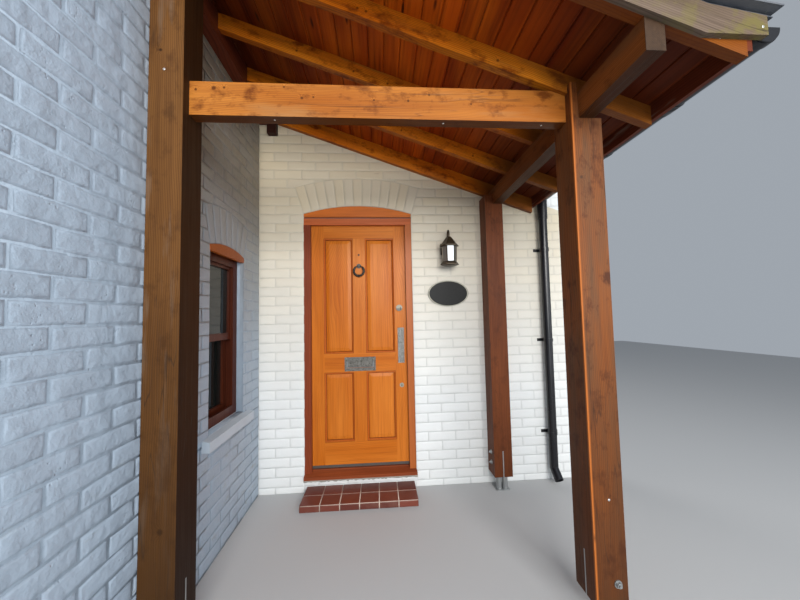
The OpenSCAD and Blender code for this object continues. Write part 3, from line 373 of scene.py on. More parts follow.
class Builder:
    """Collects vertices and faces, with one tone a piece, for one object."""

    def __init__(self):
        self.verts, self.faces, self.tones, self.joints, self.slots = [], [], [], [], []

    def add(self, verts, faces, tone=0.0, slot=0, joints=None):
        start = len(self.verts)
        self.verts.extend(verts)
        self.tones.extend([tone] * len(verts))
        self.joints.extend(joints or [1.0] * len(verts))
        self.faces.extend([tuple(start + i for i in f) for f in faces])
        self.slots.extend([slot] * len(faces))

    def box(self, a, b, slot=0):
        verts = [(x, y, z) for x in (a[0], b[0]) for y in (a[1], b[1]) for z in (a[2], b[2])]
        self.add(verts, [(0, 1, 3, 2), (4, 6, 7, 5), (0, 4, 5, 1), (2, 3, 7, 6), (0, 2, 6, 4), (1, 5, 7, 3)],
                 slot=slot)

    def prism(self, polygon, place, d0, d1):
        """A flat shape between two depths; polygon runs anticlockwise seen from outside."""
        n = len(polygon)
        verts = [place(u, v, d) for d in (d0, d1) for u, v in polygon]
        faces = [tuple(range(n)), tuple(range(2 * n - 1, n - 1, -1))]
        self.add(verts, faces + [(i, n + i, n + (i + 1) % n, (i + 1) % n) for i in range(n)])

    def object(self, name, materials, smooth=True):
        mesh = bpy.data.meshes.new(name)
        mesh.from_pydata(self.verts, [], self.faces)
        for key, values in (("tone", self.tones), ("joint", self.joints)):
            mesh.attributes.new(key, "FLOAT", "POINT").data.foreach_set("value", values)
        mesh.polygons.foreach_set("material_index", self.slots)
        mesh.polygons.foreach_set("use_smooth", [smooth] * len(mesh.polygons))
        mesh.update()
        obj = bpy.data.objects.new(name, mesh)
        bpy.context.scene.collection.objects.link(obj)
        for m in materials:
            mesh.materials.append(m)
        return obj


def edges(poly):
    return zip(poly, poly[1:] + poly[:1])


def clip(poly, a, b):
    """The part of a convex polygon to the left of the line from a to b."""
    out = []
    ax, ay = a
    dx, dy = b[0] - ax, b[1] - ay
    side = [dx * (v - ay) - dy * (u - ax) for u, v in poly]
    for (p, q), (s, t) in zip(edges(poly), edges(side)):
        if s >= 0:
            out.append(p)
        if s * t < 0:
            f = s / (s - t)
            out.append((p[0] + f * (q[0] - p[0]), p[1] + f * (q[1] - p[1])))
    return out


def area(poly):
    return 0.5 * sum(p[0] * q[1] - q[0] * p[1] for p, q in edges(poly))


def perimeter(poly):
    return sum(math.dist(p, q) for p, q in edges(poly))


def rect(u0, v0, u1, v1):
    return [(u0, v0), (u1, v0), (u1, v1), (u0, v1)]


def centre_of(poly):
    return [sum(p[k] for p in poly) / len(poly) for k in (0, 1)]


def subdivided(poly, step):
    out = []
    for p, q in edges(poly):
        n = max(1, round(math.dist(p, q) / step))
        out += [(p[0] + (q[0] - p[0]) * i / n, p[1] + (q[1] - p[1]) * i / n) for i in range(n)]
    return out


def cleaned(poly, least=0.003):
    out = [p for i, p in enumerate(poly) if math.dist(p, poly[i - 1]) > least]
    return out if len(out) > 2 else []


def inset(poly, by):
    """Each vertex moved in along the mean of its edges' normals."""
    out = []
    n = len(poly)
    for i in range(n):
        a, p, b = poly[i - 1], poly[i], poly[(i + 1) % n]
        ux, uy = p[0] - a[0], p[1] - a[1]
        vx, vy = b[0] - p[0], b[1] - p[1]
        lu, lv = math.hypot(ux, uy), math.hypot(vx, vy)
        nx, ny = -uy / lu - vy / lv, ux / lu + vx / lv
        size = max(0.7, (nx * nx + ny * ny) / 2)
        out.append((p[0] + nx / size * by, p[1] + ny / size * by))
    return out


def drawn_in(poly, by):
    """Each vertex moved towards the middle, which folds no edge of a convex shape."""
    keep = 1 - by * perimeter(poly) / (2 * area(poly))
    cu, cv = centre_of(poly)
    return [(cu + (u - cu) * keep, cv + (v - cv) * keep) for u, v in poly]


def folds(poly, moved):
    """Whether an edge of the moved shape runs backwards, or turns the wrong way into the next one."""
    ways = [(q[0] - p[0], q[1] - p[1]) for p, q in edges(moved)]
    for (p, q), ((eu, ev), (fu, fv)) in zip(edges(poly), edges(ways)):
        if (q[0] - p[0]) * eu + (q[1] - p[1]) * ev <= 0 or eu * fv - ev * fu < -1e-7:
            return True
    return False


class Face:
    """A flat face of a wall: place(u, v, depth) gives the point, kept inside the wall's box."""

    def __init__(self, origin, u, n, low, high):
        self.o, self.u, self.n = Vector(origin), Vector(u), Vector(n)
        self.low, self.high = low, high

    def __call__(self, u, v, d):
        p = self.o + self.u * u - self.n * d
        return tuple(min(max(c, a), b) for c, a, b in zip((p.x, p.y, p.z + v), self.low, self.high))


# A piece narrower than this is left out, and this is how far its flat lies inside its last ring
LEAST_PIECE, TO_FLAT = 0.010, 0.018


def island(out, place, poly, rng, rings, step=0.06, wobble=0.0009, relief=0.0006, tone=0.0):
    """One brick, tile or slate: rounded rings from the joint up to a slightly uneven face."""
    poly = cleaned(poly)
    if not poly:
        return
    narrow = area(poly) / max(math.dist(p, q) for p, q in edges(poly))
    if narrow < LEAST_PIECE:
        return
    shrink = min(1.0, min(0.40 * narrow, area(poly) / perimeter(poly)) / (rings[-1][0] + TO_FLAT))
    rings = [(by * shrink if by > 0 else by, depth) for by, depth in rings]
    flat = rings[-1][0] + TO_FLAT * shrink
    pts = subdivided(poly, step)
    n = len(pts)
    verts, joints = [], []
    tilt_u, tilt_v = rng.uniform(-1, 1) * relief * 6, rng.uniform(-1, 1) * relief * 6
    cu, cv = centre_of(pts)
    move = inset
    if folds(pts, inset(pts, flat)):
        move, wobble = drawn_in, wobble * 0.3
    jig = [(rng.uniform(-wobble, wobble), rng.uniform(-wobble, wobble)) for _ in pts]
    lift = [rng.uniform(0, relief) for _ in pts]
    for k, (by, depth) in enumerate(rings):
        joints += [max(0.0, 1.0 - k * 0.55)] * n
        for i, (u, v) in enumerate(move(pts, by)):
            ju, jv = jig[i] if k else (0.0, 0.0)
            rise = abs(tilt_u * (u - cu) + tilt_v * (v - cv)) + lift[i] if k else 0.0
            verts.append(place(u + ju, v + jv, depth + rise))
    joints += [0.0] * n
    verts += [place(u, v, rings[-1][1] + rng.uniform(0, relief)) for u, v in move(pts, flat)]
    faces = sleeve(len(rings) + 1, n)
    start, half = len(rings) * n, n // 2
    low, high = range(start, start + half), range(start + n - 1, start + half - 1, -1)
    for i in range(max(len(low), len(high)) - 1):
        (a, b), (c, d) = ([row[min(k, len(row) - 1)] for k in (i, i + 1)] for row in (low, high))
        face = tuple(dict.fromkeys((a, b, d, c)))
        if len(face) > 2:
            faces.append(face)
    out.add(verts, faces, tone, joints=joints)


# How far inside a brick's outline each of its rings lies, and how deep
BRICK_RINGS = [(-0.0030, 0.0050), (0.0005, 0.0036), (0.0040, 0.0012), (0.0095, 0.0002)]
SOFT_RINGS = [(-0.0040, 0.0042), (0.0005, 0.0032), (0.0045, 0.0012), (0.0100, 0.0003)]
LEAST_LENGTH, LEAST_HEIGHT = 0.035, 0.012


def brick_face(out, place, span, levels, phase, rng, trims=(), rings=BRICK_RINGS, relief=0.0008,
               wobble=0.0012):
    """Stretcher bond over a face. Each of trims(poly) gives the pieces of a brick that stay."""
    (u0, u1), (v0, v1) = span, levels
    pu, pv = phase
    for k in range(math.floor((v0 - pv) / COURSE), math.ceil((v1 - pv) / COURSE)):
        a, b = max(v0, pv + k * COURSE + JOINT / 2), min(v1, pv + (k + 1) * COURSE - JOINT / 2)
        if b - a < LEAST_HEIGHT:
            continue
        shift = pu(k, a) if callable(pu) else pu + (k % 2) * BRICK / 2
        for i in range(math.floor((u0 - shift) / BRICK) - 1, math.ceil((u1 - shift) / BRICK) + 1):
            c, d = max(u0, shift + i * BRICK + JOINT / 2), min(u1, shift + (i + 1) * BRICK - JOINT / 2)
            c, d = u0 if c - u0 < LEAST_LENGTH else c, u1 if u1 - d < LEAST_LENGTH else d
            if d - c < LEAST_LENGTH:
                continue
            pieces = [rect(c, a, d, b)]
            for trim in trims:
                pieces = [q for p in pieces for q in trim(p)]
            for p in pieces:
                island(out, place, p, rng, rings, tone=rng.random(), relief=relief, wobble=wobble)


def arch_circle(half, rise, spring):
    r = (half * half + rise * rise) / (2 * rise)
    return r, spring + rise - r


def opening_trim(mid, half, foot, spring, rise):
    """Cuts a doorway or window and its arch out of the bricks of a face."""
    r, centre = arch_circle(half, rise, spring)
    lean = half / math.sqrt(r * r - half * half)
    gap = 0.004

    def beside_arch(poly):
        cu, cv = centre_of(poly)
        reach = r + ARCH_RING + gap
        if min(math.dist(p, (mid, centre)) for p in subdivided(poly, 0.01)) >= reach:
            return poly
        side = -1 if cu < mid else 1
        base = (mid + side * (half + gap), spring)
        up = (base[0] + side * lean, base[1] + 1.0)
        beside = clip(poly, base, up) if side < 0 else clip(poly, up, base)
        turn = max(-math.atan(lean), min(math.atan(lean), math.atan2(cu - mid, cv - centre)))
        at = (mid + reach * math.sin(turn), centre + reach * math.cos(turn))
        above = clip(poly, at, (at[0] + math.cos(turn), at[1] - math.sin(turn)))
        return max((beside, above), key=lambda q: area(q) if len(q) > 2 else 0.0)

    def trim(poly):
        us, vs = zip(*poly)
        if max(vs) <= foot:
            return [poly]
        parts = [poly]
        if min(vs) < spring and max(us) > mid - half and min(us) < mid + half:
            left, right = (mid - half, 0), (mid + half, 0)
            above_left, above_right = (mid - half, 1), (mid + half, 1)
            parts = [clip(poly, left, above_left), clip(poly, above_right, right)]
            if min(vs) < foot:
                low = clip(poly, (0, foot), (-1, foot))
                parts.append(clip(clip(low, above_left, left), right, above_right))
        parts = [beside_arch(p) if len(p) > 2 and max(v for _, v in p) > spring else p for p in parts]
        return [p for p in parts if len(p) > 2]

    return trim


def arch_face(out, place, mid, half, spring, rise, count, rng, rings):
    """The ring of bricks on end, with joints that point to the arch's centre."""
    r, centre = arch_circle(half, rise, spring)
    spread = math.asin(half / r)
    gap = JOINT / 2 / r
    low, high = r + 0.003, r + ARCH_RING - 0.002
    for i in range(count):
        a = -spread + 2 * spread * i / count + gap
        b = -spread + 2 * spread * (i + 1) / count - gap
        poly = [(mid + reach * math.sin(t), centre + reach * math.cos(t))
                for reach, t in ((low, a), (low, b), (high, b), (high, a))]
        island(out, place, poly, rng, rings, tone=rng.random(), relief=0.0006, wobble=0.0008)


def arc_points(mid, half, spring, rise, n=16):
    r, centre = arch_circle(half, rise, spring)
    spread = math.asin(half / r)
    turns = [-spread + 2 * spread * i / n for i in range(n + 1)]
    return [(mid + r * math.sin(t), centre + r * math.cos(t)) for t in turns]


# How deep the joints lie, and how far a face of bricks stops short of the wall's corner
SKIN, SHORT = 0.0048, 0.001


def core(out, place, x0, x1, top, mid, half, foot, spring, rise):
    """The wall behind the bricks' faces, as far back as the joints."""
    left, right = mid - half, mid + half
    arc = arc_points(mid, half, spring, rise)
    for shape in ([(x0, 0.0), (left, 0.0), (left, top(left)), (x0, top(x0))],
                  [(right, 0.0), (x1, 0.0), (x1, top(x1)), (right, top(right))],
                  rect(left, 0.0, right, foot), arc + [(right, top(right)), (left, top(left))]):
        out.prism(shape, place, SKIN, WALL_T - SKIN)


def door_wall():
    rng = random.Random(11)
    out = Builder()
    room = ((SIDE_X - SKIN, 0, 0), (DOOR_END, WALL_T, WALL_TOP))
    front = Face((0, 0, 0), (1, 0, 0), (0, -1, 0), *room)
    back = Face((0, WALL_T, 0), (-1, 0, 0), (0, 1, 0), *room)
    end = Face((DOOR_END, 0, 0), (0, 1, 0), (1, 0, 0), *room)
    opening = (0, DOORWAY_X, DOORWAY_FOOT, DOOR_SPRING, DOOR_RISE)
    first_joint, lower, upper = 0.0514, (0.0, 2.489), (2.4898, 3.6)

    def top(x):
        return covering_z(x) + WALL_OVER

    def slope(side):
        """Cuts off what stands over the wall's top. The back runs the other way, side -1."""
        a, b = (side * 3.0, top(3.0)), (side * -1.0, top(-1.0))

        def cut(p):
            q = clip(p, a, b) if side > 0 else clip(p, b, a)
            return [q] if len(q) > 2 else []
        return cut

    def right_phase(k, level):
        return 0.098 + (k % 2) * BRICK / 2 + (0.008 if level > 2.5 else 0.0)

    def left_phase(k, level):
        return right_phase(k, level) + 0.020

    core(out, front, SIDE_X - SKIN, DOOR_END - SKIN, top, *opening)
    trim = opening_trim(*opening)
    right_end = DOOR_END - SHORT
    for span, levels, phase, trims in (
            ((SIDE_X, 0.0), lower, left_phase, [trim]),
            ((0.0, right_end), lower, right_phase, [trim]),
            ((SIDE_X, right_end), upper, right_phase, [trim, slope(1)])):
        brick_face(out, front, span, levels, (phase, first_joint), rng, trims, SOFT_RINGS, 0.0005, 0.0008)
    brick_face(out, back, (-DOOR_END + SHORT, -SIDE_X), (0.0, upper[1]), (0.10, first_joint), rng,
               [trim, slope(-1)])
    brick_face(out, end, (SHORT, WALL_T - SHORT), (0.0, top(DOOR_END)), (0.0, first_joint), rng)
    for face in (front, back):
        arch_face(out, face, 0, DOORWAY_X, DOOR_SPRING, DOOR_RISE, 13, rng, SOFT_RINGS)
    # The warm tint is painted shade under the roof
    colour, roof_shade_tint = (0.74, 0.75, 0.74), ((0.62, 0.53, 0.37), (0.7, 2.4, 0.0, 1.0))
    obj = out.object("door_wall_bricks", [paint("door_wall_paint", colour, 0.0035, roof_shade_tint, 0.5, 0.20)])
    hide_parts("door_wall_left", "door_wall_right", "door_wall_head", "door_wall_foot", "door_arch")
    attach(obj, "porch")


def side_wall():
    rng = random.Random(23)
    out = Builder()
    out_x = SIDE_X - WALL_T
    room = ((out_x, SIDE_END, 0), (SIDE_X, WALL_T, WALL_TOP))
    inner = Face((SIDE_X, 0, 0), (0, 1, 0), (1, 0, 0), *room)
    outer = Face((out_x, 0, 0), (0, -1, 0), (-1, 0, 0), *room)
    end = Face((0, SIDE_END, 0), (1, 0, 0), (0, -1, 0), *room)
    rear = Face((0, WALL_T, 0), (-1, 0, 0), (0, 1, 0), *room)
    mid, half = (WIN_Y0 + WIN_Y1) / 2, (WIN_Y1 - WIN_Y0) / 2
    levels, first_joint = (0.0, WALL_TOP), 0.0097

    core(out, inner, SIDE_END + SKIN, WALL_T - SKIN, lambda y: WALL_TOP, mid, half, WIN_FOOT - 0.001,
         WIN_SPRING, WIN_RISE)
    trim = opening_trim(mid, half, SILL_Z0, WIN_SPRING, WIN_RISE)
    trim_out = opening_trim(-mid, half, WIN_FOOT, WIN_SPRING, WIN_RISE)
    brick_face(out, inner, (SIDE_END + SHORT, 0.0), levels, (-1.509 + 8 * BRICK, first_joint), rng, [trim],
               relief=0.0014, wobble=0.0026)
    brick_face(out, outer, (-WALL_T + SHORT, -SIDE_END - SHORT), levels, (0.05, first_joint), rng, [trim_out])
    brick_face(out, end, (out_x + SHORT, SIDE_X - SHORT), levels, (out_x, first_joint), rng)
    for face, centre in ((inner, mid), (outer, -mid)):
        arch_face(out, face, centre, half, WIN_SPRING, WIN_RISE, 7, rng, BRICK_RINGS)
    brick_face(out, rear, (-SIDE_X + SHORT, WALL_T - SIDE_X - SHORT), levels, (-SIDE_X, first_joint), rng)
    # The white paint given as a darker blue-grey, painted shade and blue skylight; under the roof a much
    # darker tint of painted shade
    colour, roof_shade_tint = (0.34, 0.41, 0.49), ((0.21, 0.18, 0.135), (1.1, 2.4, 0.0, 1.0))
    obj = out.object("side_wall_bricks", [paint("side_wall_shaded_paint", colour, 0.0085, roof_shade_tint, 0.75, 0.34,
                                                stain=0.5, rough=0.42, fines=0.5)])
    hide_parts("side_wall_front", "side_wall_back", "side_wall_head", "side_wall_foot", "window_arch")
    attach(obj, "porch")


door_wall()
side_wall()


# --- step
def tile_look():
    g = Graph("quarry_tile")
    at = g.coords()
    n = g.noise(at, 9.0, 4.0, 0.6)
    f = g.noise(at, 160.0, 3.0, 0.6)
    colour = g.mix(g.tone(), (0.105, 0.022, 0.013), (0.18, 0.040, 0.022))
    colour = g.mix(g.span(n, 0.52, 0.72, 0.0, 0.45), colour, (0.21, 0.095, 0.065))
    g.set(Base_Color=colour, Roughness=g.span(n, 0.3, 0.7, 0.35, 0.6), Normal=g.bump(f, 0.4, 0.0006))
    return g.mat


def door_step():
    rng = random.Random(5)
    out = Builder()
    a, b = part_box("door_step")
    w, d, h = b[0] - a[0], b[1] - a[1], b[2]
    skin, gap, foot, count = 0.0022, 0.008, 0.0005, 6
    out.box((a[0] + skin, a[1] + skin, 0.0), (b[0] - skin, b[1], h - skin), slot=1)
    rings = [(-0.0005, skin), (0.0005, 0.0010), (0.0022, 0.0002), (0.0045, 0.0)]

    def up(u, v, depth):
        return a[0] + u, a[1] + v, h - depth

    def ahead(u, v, depth):
        return a[0] + u, a[1] + depth, v

    def left(u, v, depth):
        return a[0] + depth, b[1] - u, v

    def right(u, v, depth):
        return b[0] - depth, a[1] + u, v

    def tile(place, shape, wobble):
        island(out, place, shape, rng, rings, 0.05, wobble, 0.0003, rng.random())

    back_row = (d * 0.5 + gap / 2, d)
    for i in range(count):
        u0 = w * i / count + gap / 2 * (i > 0)
        u1 = w * (i + 1) / count - gap / 2 * (i < count - 1)
        for v0, v1 in ((0.002, d * 0.5 - gap / 2), back_row):
            tile(up, rect(u0, v0, u1, v1), 0.0004)
        tile(ahead, rect(u0, foot, u1, h - 0.008), 0.0003)
    for side in (left, right):
        for v0, v1 in ((0.0, d * 0.5 - gap / 2), back_row):
            tile(side, rect(v0, foot, v1, h - 0.001), 0.0003)
    mortar = plain("tile_joint", (0.50, 0.40, 0.33), 0.9, bump=0.001, scale=200)
    obj = out.object("step_tiles", [tile_look(), mortar])
    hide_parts("door_step")
    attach(obj, "porch")


def sill_mortar():
    """The rough bed under the door's sill."""
    strip = Builder()
    rough = random.Random(9)
    n, in_y, past = 60, 0.012, 0.004
    verts = []
    for i in range(n + 1):
        x = -DOORWAY_X - past + (2 * DOORWAY_X + 2 * past) * i / n
        out_y, low = -0.006 - rough.uniform(0, 0.006), DOORWAY_FOOT - 0.012 - rough.uniform(0, 0.010)
        verts += [(x, in_y, low), (x, out_y, low + 0.003), (x, out_y, DOORWAY_FOOT), (x, in_y, DOORWAY_FOOT)]
    strip.add(verts, sleeve(n + 1, 4) + [(0, 3, 2, 1), (4 * n, 4 * n + 1, 4 * n + 2, 4 * n + 3)])
    bed = strip.object("sill_mortar", [plain("sill_mortar", (0.34, 0.32, 0.28), 0.9, bump=0.003, scale=120)])
    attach(bed, "porch")


door_step()
sill_mortar()


# --- roof slates
def slate_look():
    g = Graph("slate")
    at = g.coords()
    n = g.noise(g.mapped(at, (1, 1.6, 1)), 7.0, 5.0, 0.6)
    f = g.noise(g.mapped(at, (1, 0.4, 3)), 90.0, 4.0, 0.6)
    lichen = g.noise(at, 26.0, 3.0, 0.7)
    colour = g.mix(g.tone(), (0.045, 0.052, 0.066), (0.105, 0.110, 0.125))
    colour = g.mix(g.span(n, 0.5, 0.75, 0.0, 0.5), colour, (0.15, 0.15, 0.155))
    colour = g.mix(g.span(lichen, 0.66, 0.74, 0.0, 0.7), colour, (0.30, 0.29, 0.20))
    g.set(Base_Color=colour, Roughness=g.span(n, 0.3, 0.7, 0.45, 0.75), Normal=g.bump(f, 0.5, 0.0012))
    return g.mat


def slates():
    """Lapped slates on the slope, which kicks up at the eaves, over a thin bed."""
    rng = random.Random(31)
    out = Builder()
    length = (TAIL_X + 0.065 - SIDE_X) * PLUMB
    count = round(length / 0.200)
    course, lap = length / count, 0.02
    wide, gap, least, thick = 0.245, 0.003, 0.03, 0.006
    y0, y1 = -VERGE_Y - 0.022 - 0.028, 0.0
    kick_l, kick_h = 0.250, 0.044
    kick_s = length - kick_l
    cols, rows = 3, 5
    per = rows * cols
    o = Vector((SIDE_X, 0, boards_z(SIDE_X) + 0.0001))
    su, sn = Vector((math.cos(PITCH), 0, -math.sin(PITCH))), Vector((math.sin(PITCH), 0, math.cos(PITCH)))

    def spot(s, y, n):
        p = o + su * s + sn * (n + max(0.0, s - kick_s) * kick_h / kick_l)
        return (p.x, y, p.z)

    faces = []
    for q in (r * cols + c for r in range(rows - 1) for c in range(cols - 1)):
        faces.append((q, q + 1, q + cols + 1, q + cols))
        faces.append((per + q, per + q + cols, per + q + cols + 1, per + q + 1))
    rim = [*range(cols), *(r * cols + cols - 1 for r in range(1, rows)),
           *((rows - 1) * cols + c for c in range(cols - 2, -1, -1)),
           *(r * cols for r in range(rows - 2, 0, -1))]
    faces += [(p, per + p, per + q, q) for p, q in edges(rim)]

    for i in range(count):
        s1 = (i + 1) * course
        s0 = max(0.0, s1 - 2 * course - lap)
        y = y0 - (i % 2) * wide / 2
        while y < y1 - 0.02:
            a, b = max(y0, y), min(y1, y + wide - gap)
            y += wide
            if b - a < least:
                continue
            end = min(length, s1 + rng.uniform(-0.004, 0.0 if i == count - 1 else 0.004))
            slip = rng.uniform(0, 0.001)
            verts = []
            for layer in (0, 1):
                for r in range(rows):
                    s = s0 + (end - s0) * r / (rows - 1)
                    back = (s1 - s) / course
                    n = BOARD_T + SLATE_T - thick - 0.0006 - back * 0.0060 + layer * thick - slip
                    n = max(n, BOARD_T + layer * thick)
                    for c in range(cols):
                        loose = 0 < r and c != 1 and a > y0 and b < y1
                        edge = rng.uniform(-0.0012, 0.0012) if loose else 0.0
                        nick = rng.uniform(-0.002, 0.0) if r == rows - 1 else 0.0
                        verts.append(spot(s + nick, a + (b - a) * c / (cols - 1) + edge, n))
            out.add(verts, faces, rng.random())
    bed_n = BOARD_T + 0.0002
    verts = [spot(s, y, bed_n + t) for t in (0.0, 0.004) for y in (y0 + 0.030, y1)
             for s in (0.0, kick_s, length - 0.004)]
    out.add(verts, [(0, 1, 4, 3), (1, 2, 5, 4), (6, 9, 10, 7), (7, 10, 11, 8), (0, 6, 7, 1), (1, 7, 8, 2),
                    (3, 4, 10, 9), (4, 5, 11, 10), (0, 3, 9, 6), (2, 8, 11, 5)], 0.1)
    obj = out.object("slates", [slate_look()], smooth=False)
    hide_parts("roof_slates")
    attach(obj, "porch")


slates()


# --- materials of the carried nodes
def dress(material, *names):
    for name in names:
        mesh = nodes[name].data
        mesh.materials.clear()
        mesh.materials.append(material)


def bevel(width, *names, segments=2):
    for name in names:
        mod = nodes[name].modifiers.new("edges", "BEVEL")
        mod.width = width
        mod.segments = segments
        mod.limit_method = "ANGLE"
        mod.angle_limit = math.radians(40)
        mod.harden_normals = False


# Base, dark and light colour of each stain
BROWN = (0.100, 0.040, 0.009), (0.026, 0.008, 0.002), (0.165, 0.070, 0.018)
ORANGE = (0.34, 0.098, 0.011), (0.11, 0.024, 0.003), (0.50, 0.185, 0.032)
RAFTER = (0.66, 0.155, 0.006), (0.18, 0.030, 0.002), (0.84, 0.27, 0.016)
REDDISH = (0.17, 0.030, 0.010), (0.060, 0.011, 0.005), (0.25, 0.050, 0.016)
DEEP = (0.100, 0.020, 0.008), (0.035, 0.007, 0.004), (0.15, 0.032, 0.012)
# Directions of faces that get painted shade
UNDERSIDE, INWARD = (0, 0, -1), (1, 0, 0)
# How far out from the door wall each rafter's knots lie
RAFTERS = {"back_rafter": 0.0, "second_rafter": 0.438, "third_rafter": 0.838, "post_rafter": 1.238,
           "verge_rafter": 1.600}

dress(wood("left_post_wood", *BROWN, along="z", seed=1, cracks=0.5, grey=0.12,
           grey_colour=(0.16, 0.11, 0.075), rough=0.55, foot=0.95, blotch=0.4, painted_shade_faces=[(INWARD, 0.9)],
           knots=[(-0.727, -1.262, 0.545, 0.012), (-0.762, -1.262, 2.57, 0.007)]), "front_left_post")
# The right post has a painted highlight along its front-left edge
dress(wood("right_post_wood", (0.17, 0.050, 0.012), (0.052, 0.014, 0.005),
           (0.25, 0.072, 0.013), along="z", seed=2, cracks=0.5, grey=0.75,
           grey_colour=(0.085, 0.048, 0.025), foot=0.8, blotch=0.85,
           highlight_arris=tuple(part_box("front_right_post")[0][:2]),
           knots=[(1.0125, -1.225, 1.36, 0.010), (1.118, -1.262, 2.02, 0.008)]), "front_right_post")
dress(wood("back_post_wood", (0.13, 0.034, 0.010), (0.042, 0.011, 0.004),
           (0.21, 0.058, 0.016), along="z", seed=3, cracks=0.4, foot=0.3, blotch=0.4),
      "back_right_post")
TIE_KNOTS = [(-0.638, 2.428, 0.006), (-0.560, 2.437, 0.010), (-0.515, 2.44, 0.006), (-0.25, 2.45, 0.005),
             (-0.17, 2.40, 0.007), (-0.118, 2.405, 0.005), (0.16, 2.398, 0.005), (0.32, 2.398, 0.006),
             (0.42, 2.43, 0.006), (0.62, 2.39, 0.005)]
dress(wood("tie_wood", *ORANGE, seed=4, cracks=0.4, grey=0.2, grey_colour=(0.34, 0.16, 0.055), rough=0.45,
           blotch=0.85, painted_shade_faces=[(UNDERSIDE, 0.85)], knots=[(x, -1.218, z, r) for x, z, r in TIE_KNOTS]),
      "tie_beam")
dress(wood("eaves_beam_wood", (0.16, 0.046, 0.010), (0.050, 0.014, 0.004),
           (0.25, 0.080, 0.018), along="y", seed=5, cracks=0.7, grey=0.45,
           grey_colour=(0.10, 0.055, 0.028), blotch=0.6, end=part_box("eaves_beam")[0][1],
           painted_shade_faces=[(UNDERSIDE, 0.8)]), "eaves_beam")
dress(wood("ledger_wood", *DEEP, along="y", seed=6, cracks=0.4), "wall_ledger")
dress(wood("bearer_wood", (0.035, 0.010, 0.006), (0.014, 0.005, 0.003),
           (0.06, 0.018, 0.010), seed=7), "corner_bearer")
for i, (name, y) in enumerate(RAFTERS.items()):
    dress(wood(name + "_wood", *RAFTER, along="slope", seed=8.3 + i * 1.37, cracks=0.35, grey=0.1,
               grey_colour=(0.30, 0.10, 0.02), rough=0.40, blotch=0.9, rings=0.62,
               painted_shade_faces=[(UNDERSIDE, 0.45)],
               tail=(0.2, 0.9, (0.085, 0.022, 0.005)) if i == 4 else (0.92, 1.12, (0.150, 0.048, 0.010)),
               knots=[(k, -y, BEAM_TOP - (k - BEAM_X) * FALL + 0.035, 0.007)
                      for k in (-0.55 + 0.13 * i, -0.06 + 0.05 * i, 0.46 - 0.11 * i, 0.93 - 0.06 * i)]), name)
dress(wood("bargeboard_wood", (0.105, 0.070, 0.048), (0.038, 0.023, 0.015),
           (0.17, 0.125, 0.095), along="slope", seed=15, cracks=0.7, grey=0.5,
           grey_colour=(0.080, 0.055, 0.032), rough=0.8, lichen=0.75), "bargeboard")
dress(wood("fascia_wood", *DEEP, along="y", seed=16, grey=0.1), "fascia")
bevel(0.0035, "front_left_post", "front_right_post", "back_right_post", "tie_beam", "eaves_beam",
      "wall_ledger", "corner_bearer")
bevel(0.0025, *RAFTERS, "fascia", "bargeboard")


def ceiling():
    """Dark stained boards, each with its own shade, darkened towards both ends with painted shade."""
    g = Graph("ceiling_wood")
    at = g.coords()
    p = g.mapped(at, turn=GRAIN_TURN["slope"])
    board = g.math("FLOOR", g.math("DIVIDE", g.plus(g.split(p)[0], 5.0), 0.0904))
    own = g.node("TexWhiteNoise", {"W": board}, noise_dimensions="1D").outputs["Value"]
    streak = g.grain(p, (60, 2.0, 60), 5.0, 0.6)
    broad = g.grain(p, (6, 1.0, 6))
    colour = g.mix(own, (0.25, 0.028, 0.001), (0.50, 0.080, 0.003))
    colour = g.mix(g.span(broad, 0.45, 0.7, 0.0, 0.6), colour, (0.70, 0.15, 0.006))
    colour = g.mix(g.span(streak, 0.45, 0.75, 0.0, 0.6), colour, (0.030, 0.005, 0.002))
    knots = g.cells(g.mapped(p, (11, 2.4, 11)), 1.0)
    colour = g.mix(g.span(knots, 0.05, 0.11, 0.85, 0.0), colour, (0.012, 0.003, 0.002))
    # Painted shade: near black towards the left, and darker towards the right
    colour = g.mix(g.span(g.split(at)[0], -0.8, 0.2, 0.92, 0.0), colour, (0.012, 0.003, 0.002))
    colour = g.mix(g.span(g.split(at)[0], 0.5, 1.15, 0.0, 0.85), colour, (0.040, 0.008, 0.003))
    g.set(Base_Color=colour, Roughness=g.span(streak, 0.3, 0.8, 0.45, 0.6),
          Normal=g.bump(streak, 0.5, 0.0006), Specular_IOR_Level=0.1)
    return g.mat


def embossed(name, raised, sunk, scale):
    """Cast metal with a worn low relief all over: bright where it stands proud, dark in its hollows."""
    g = Graph(name)
    at = g.coords()
    curls = g.noise(at, scale, 2.0, 0.5, 2.5)
    fine = g.noise(at, scale * 3)
    proud = g.span(g.apart(curls, 0.5), 0.02, 0.07)
    colour = g.mix(proud, sunk, g.mix(fine, raised, shaded(raised, 0.6)))
    g.set(Base_Color=colour, Metallic=0.35, Roughness=0.5, Normal=g.bump(proud, 0.8, 0.0015),
          Specular_IOR_Level=0.3)
    return g.mat


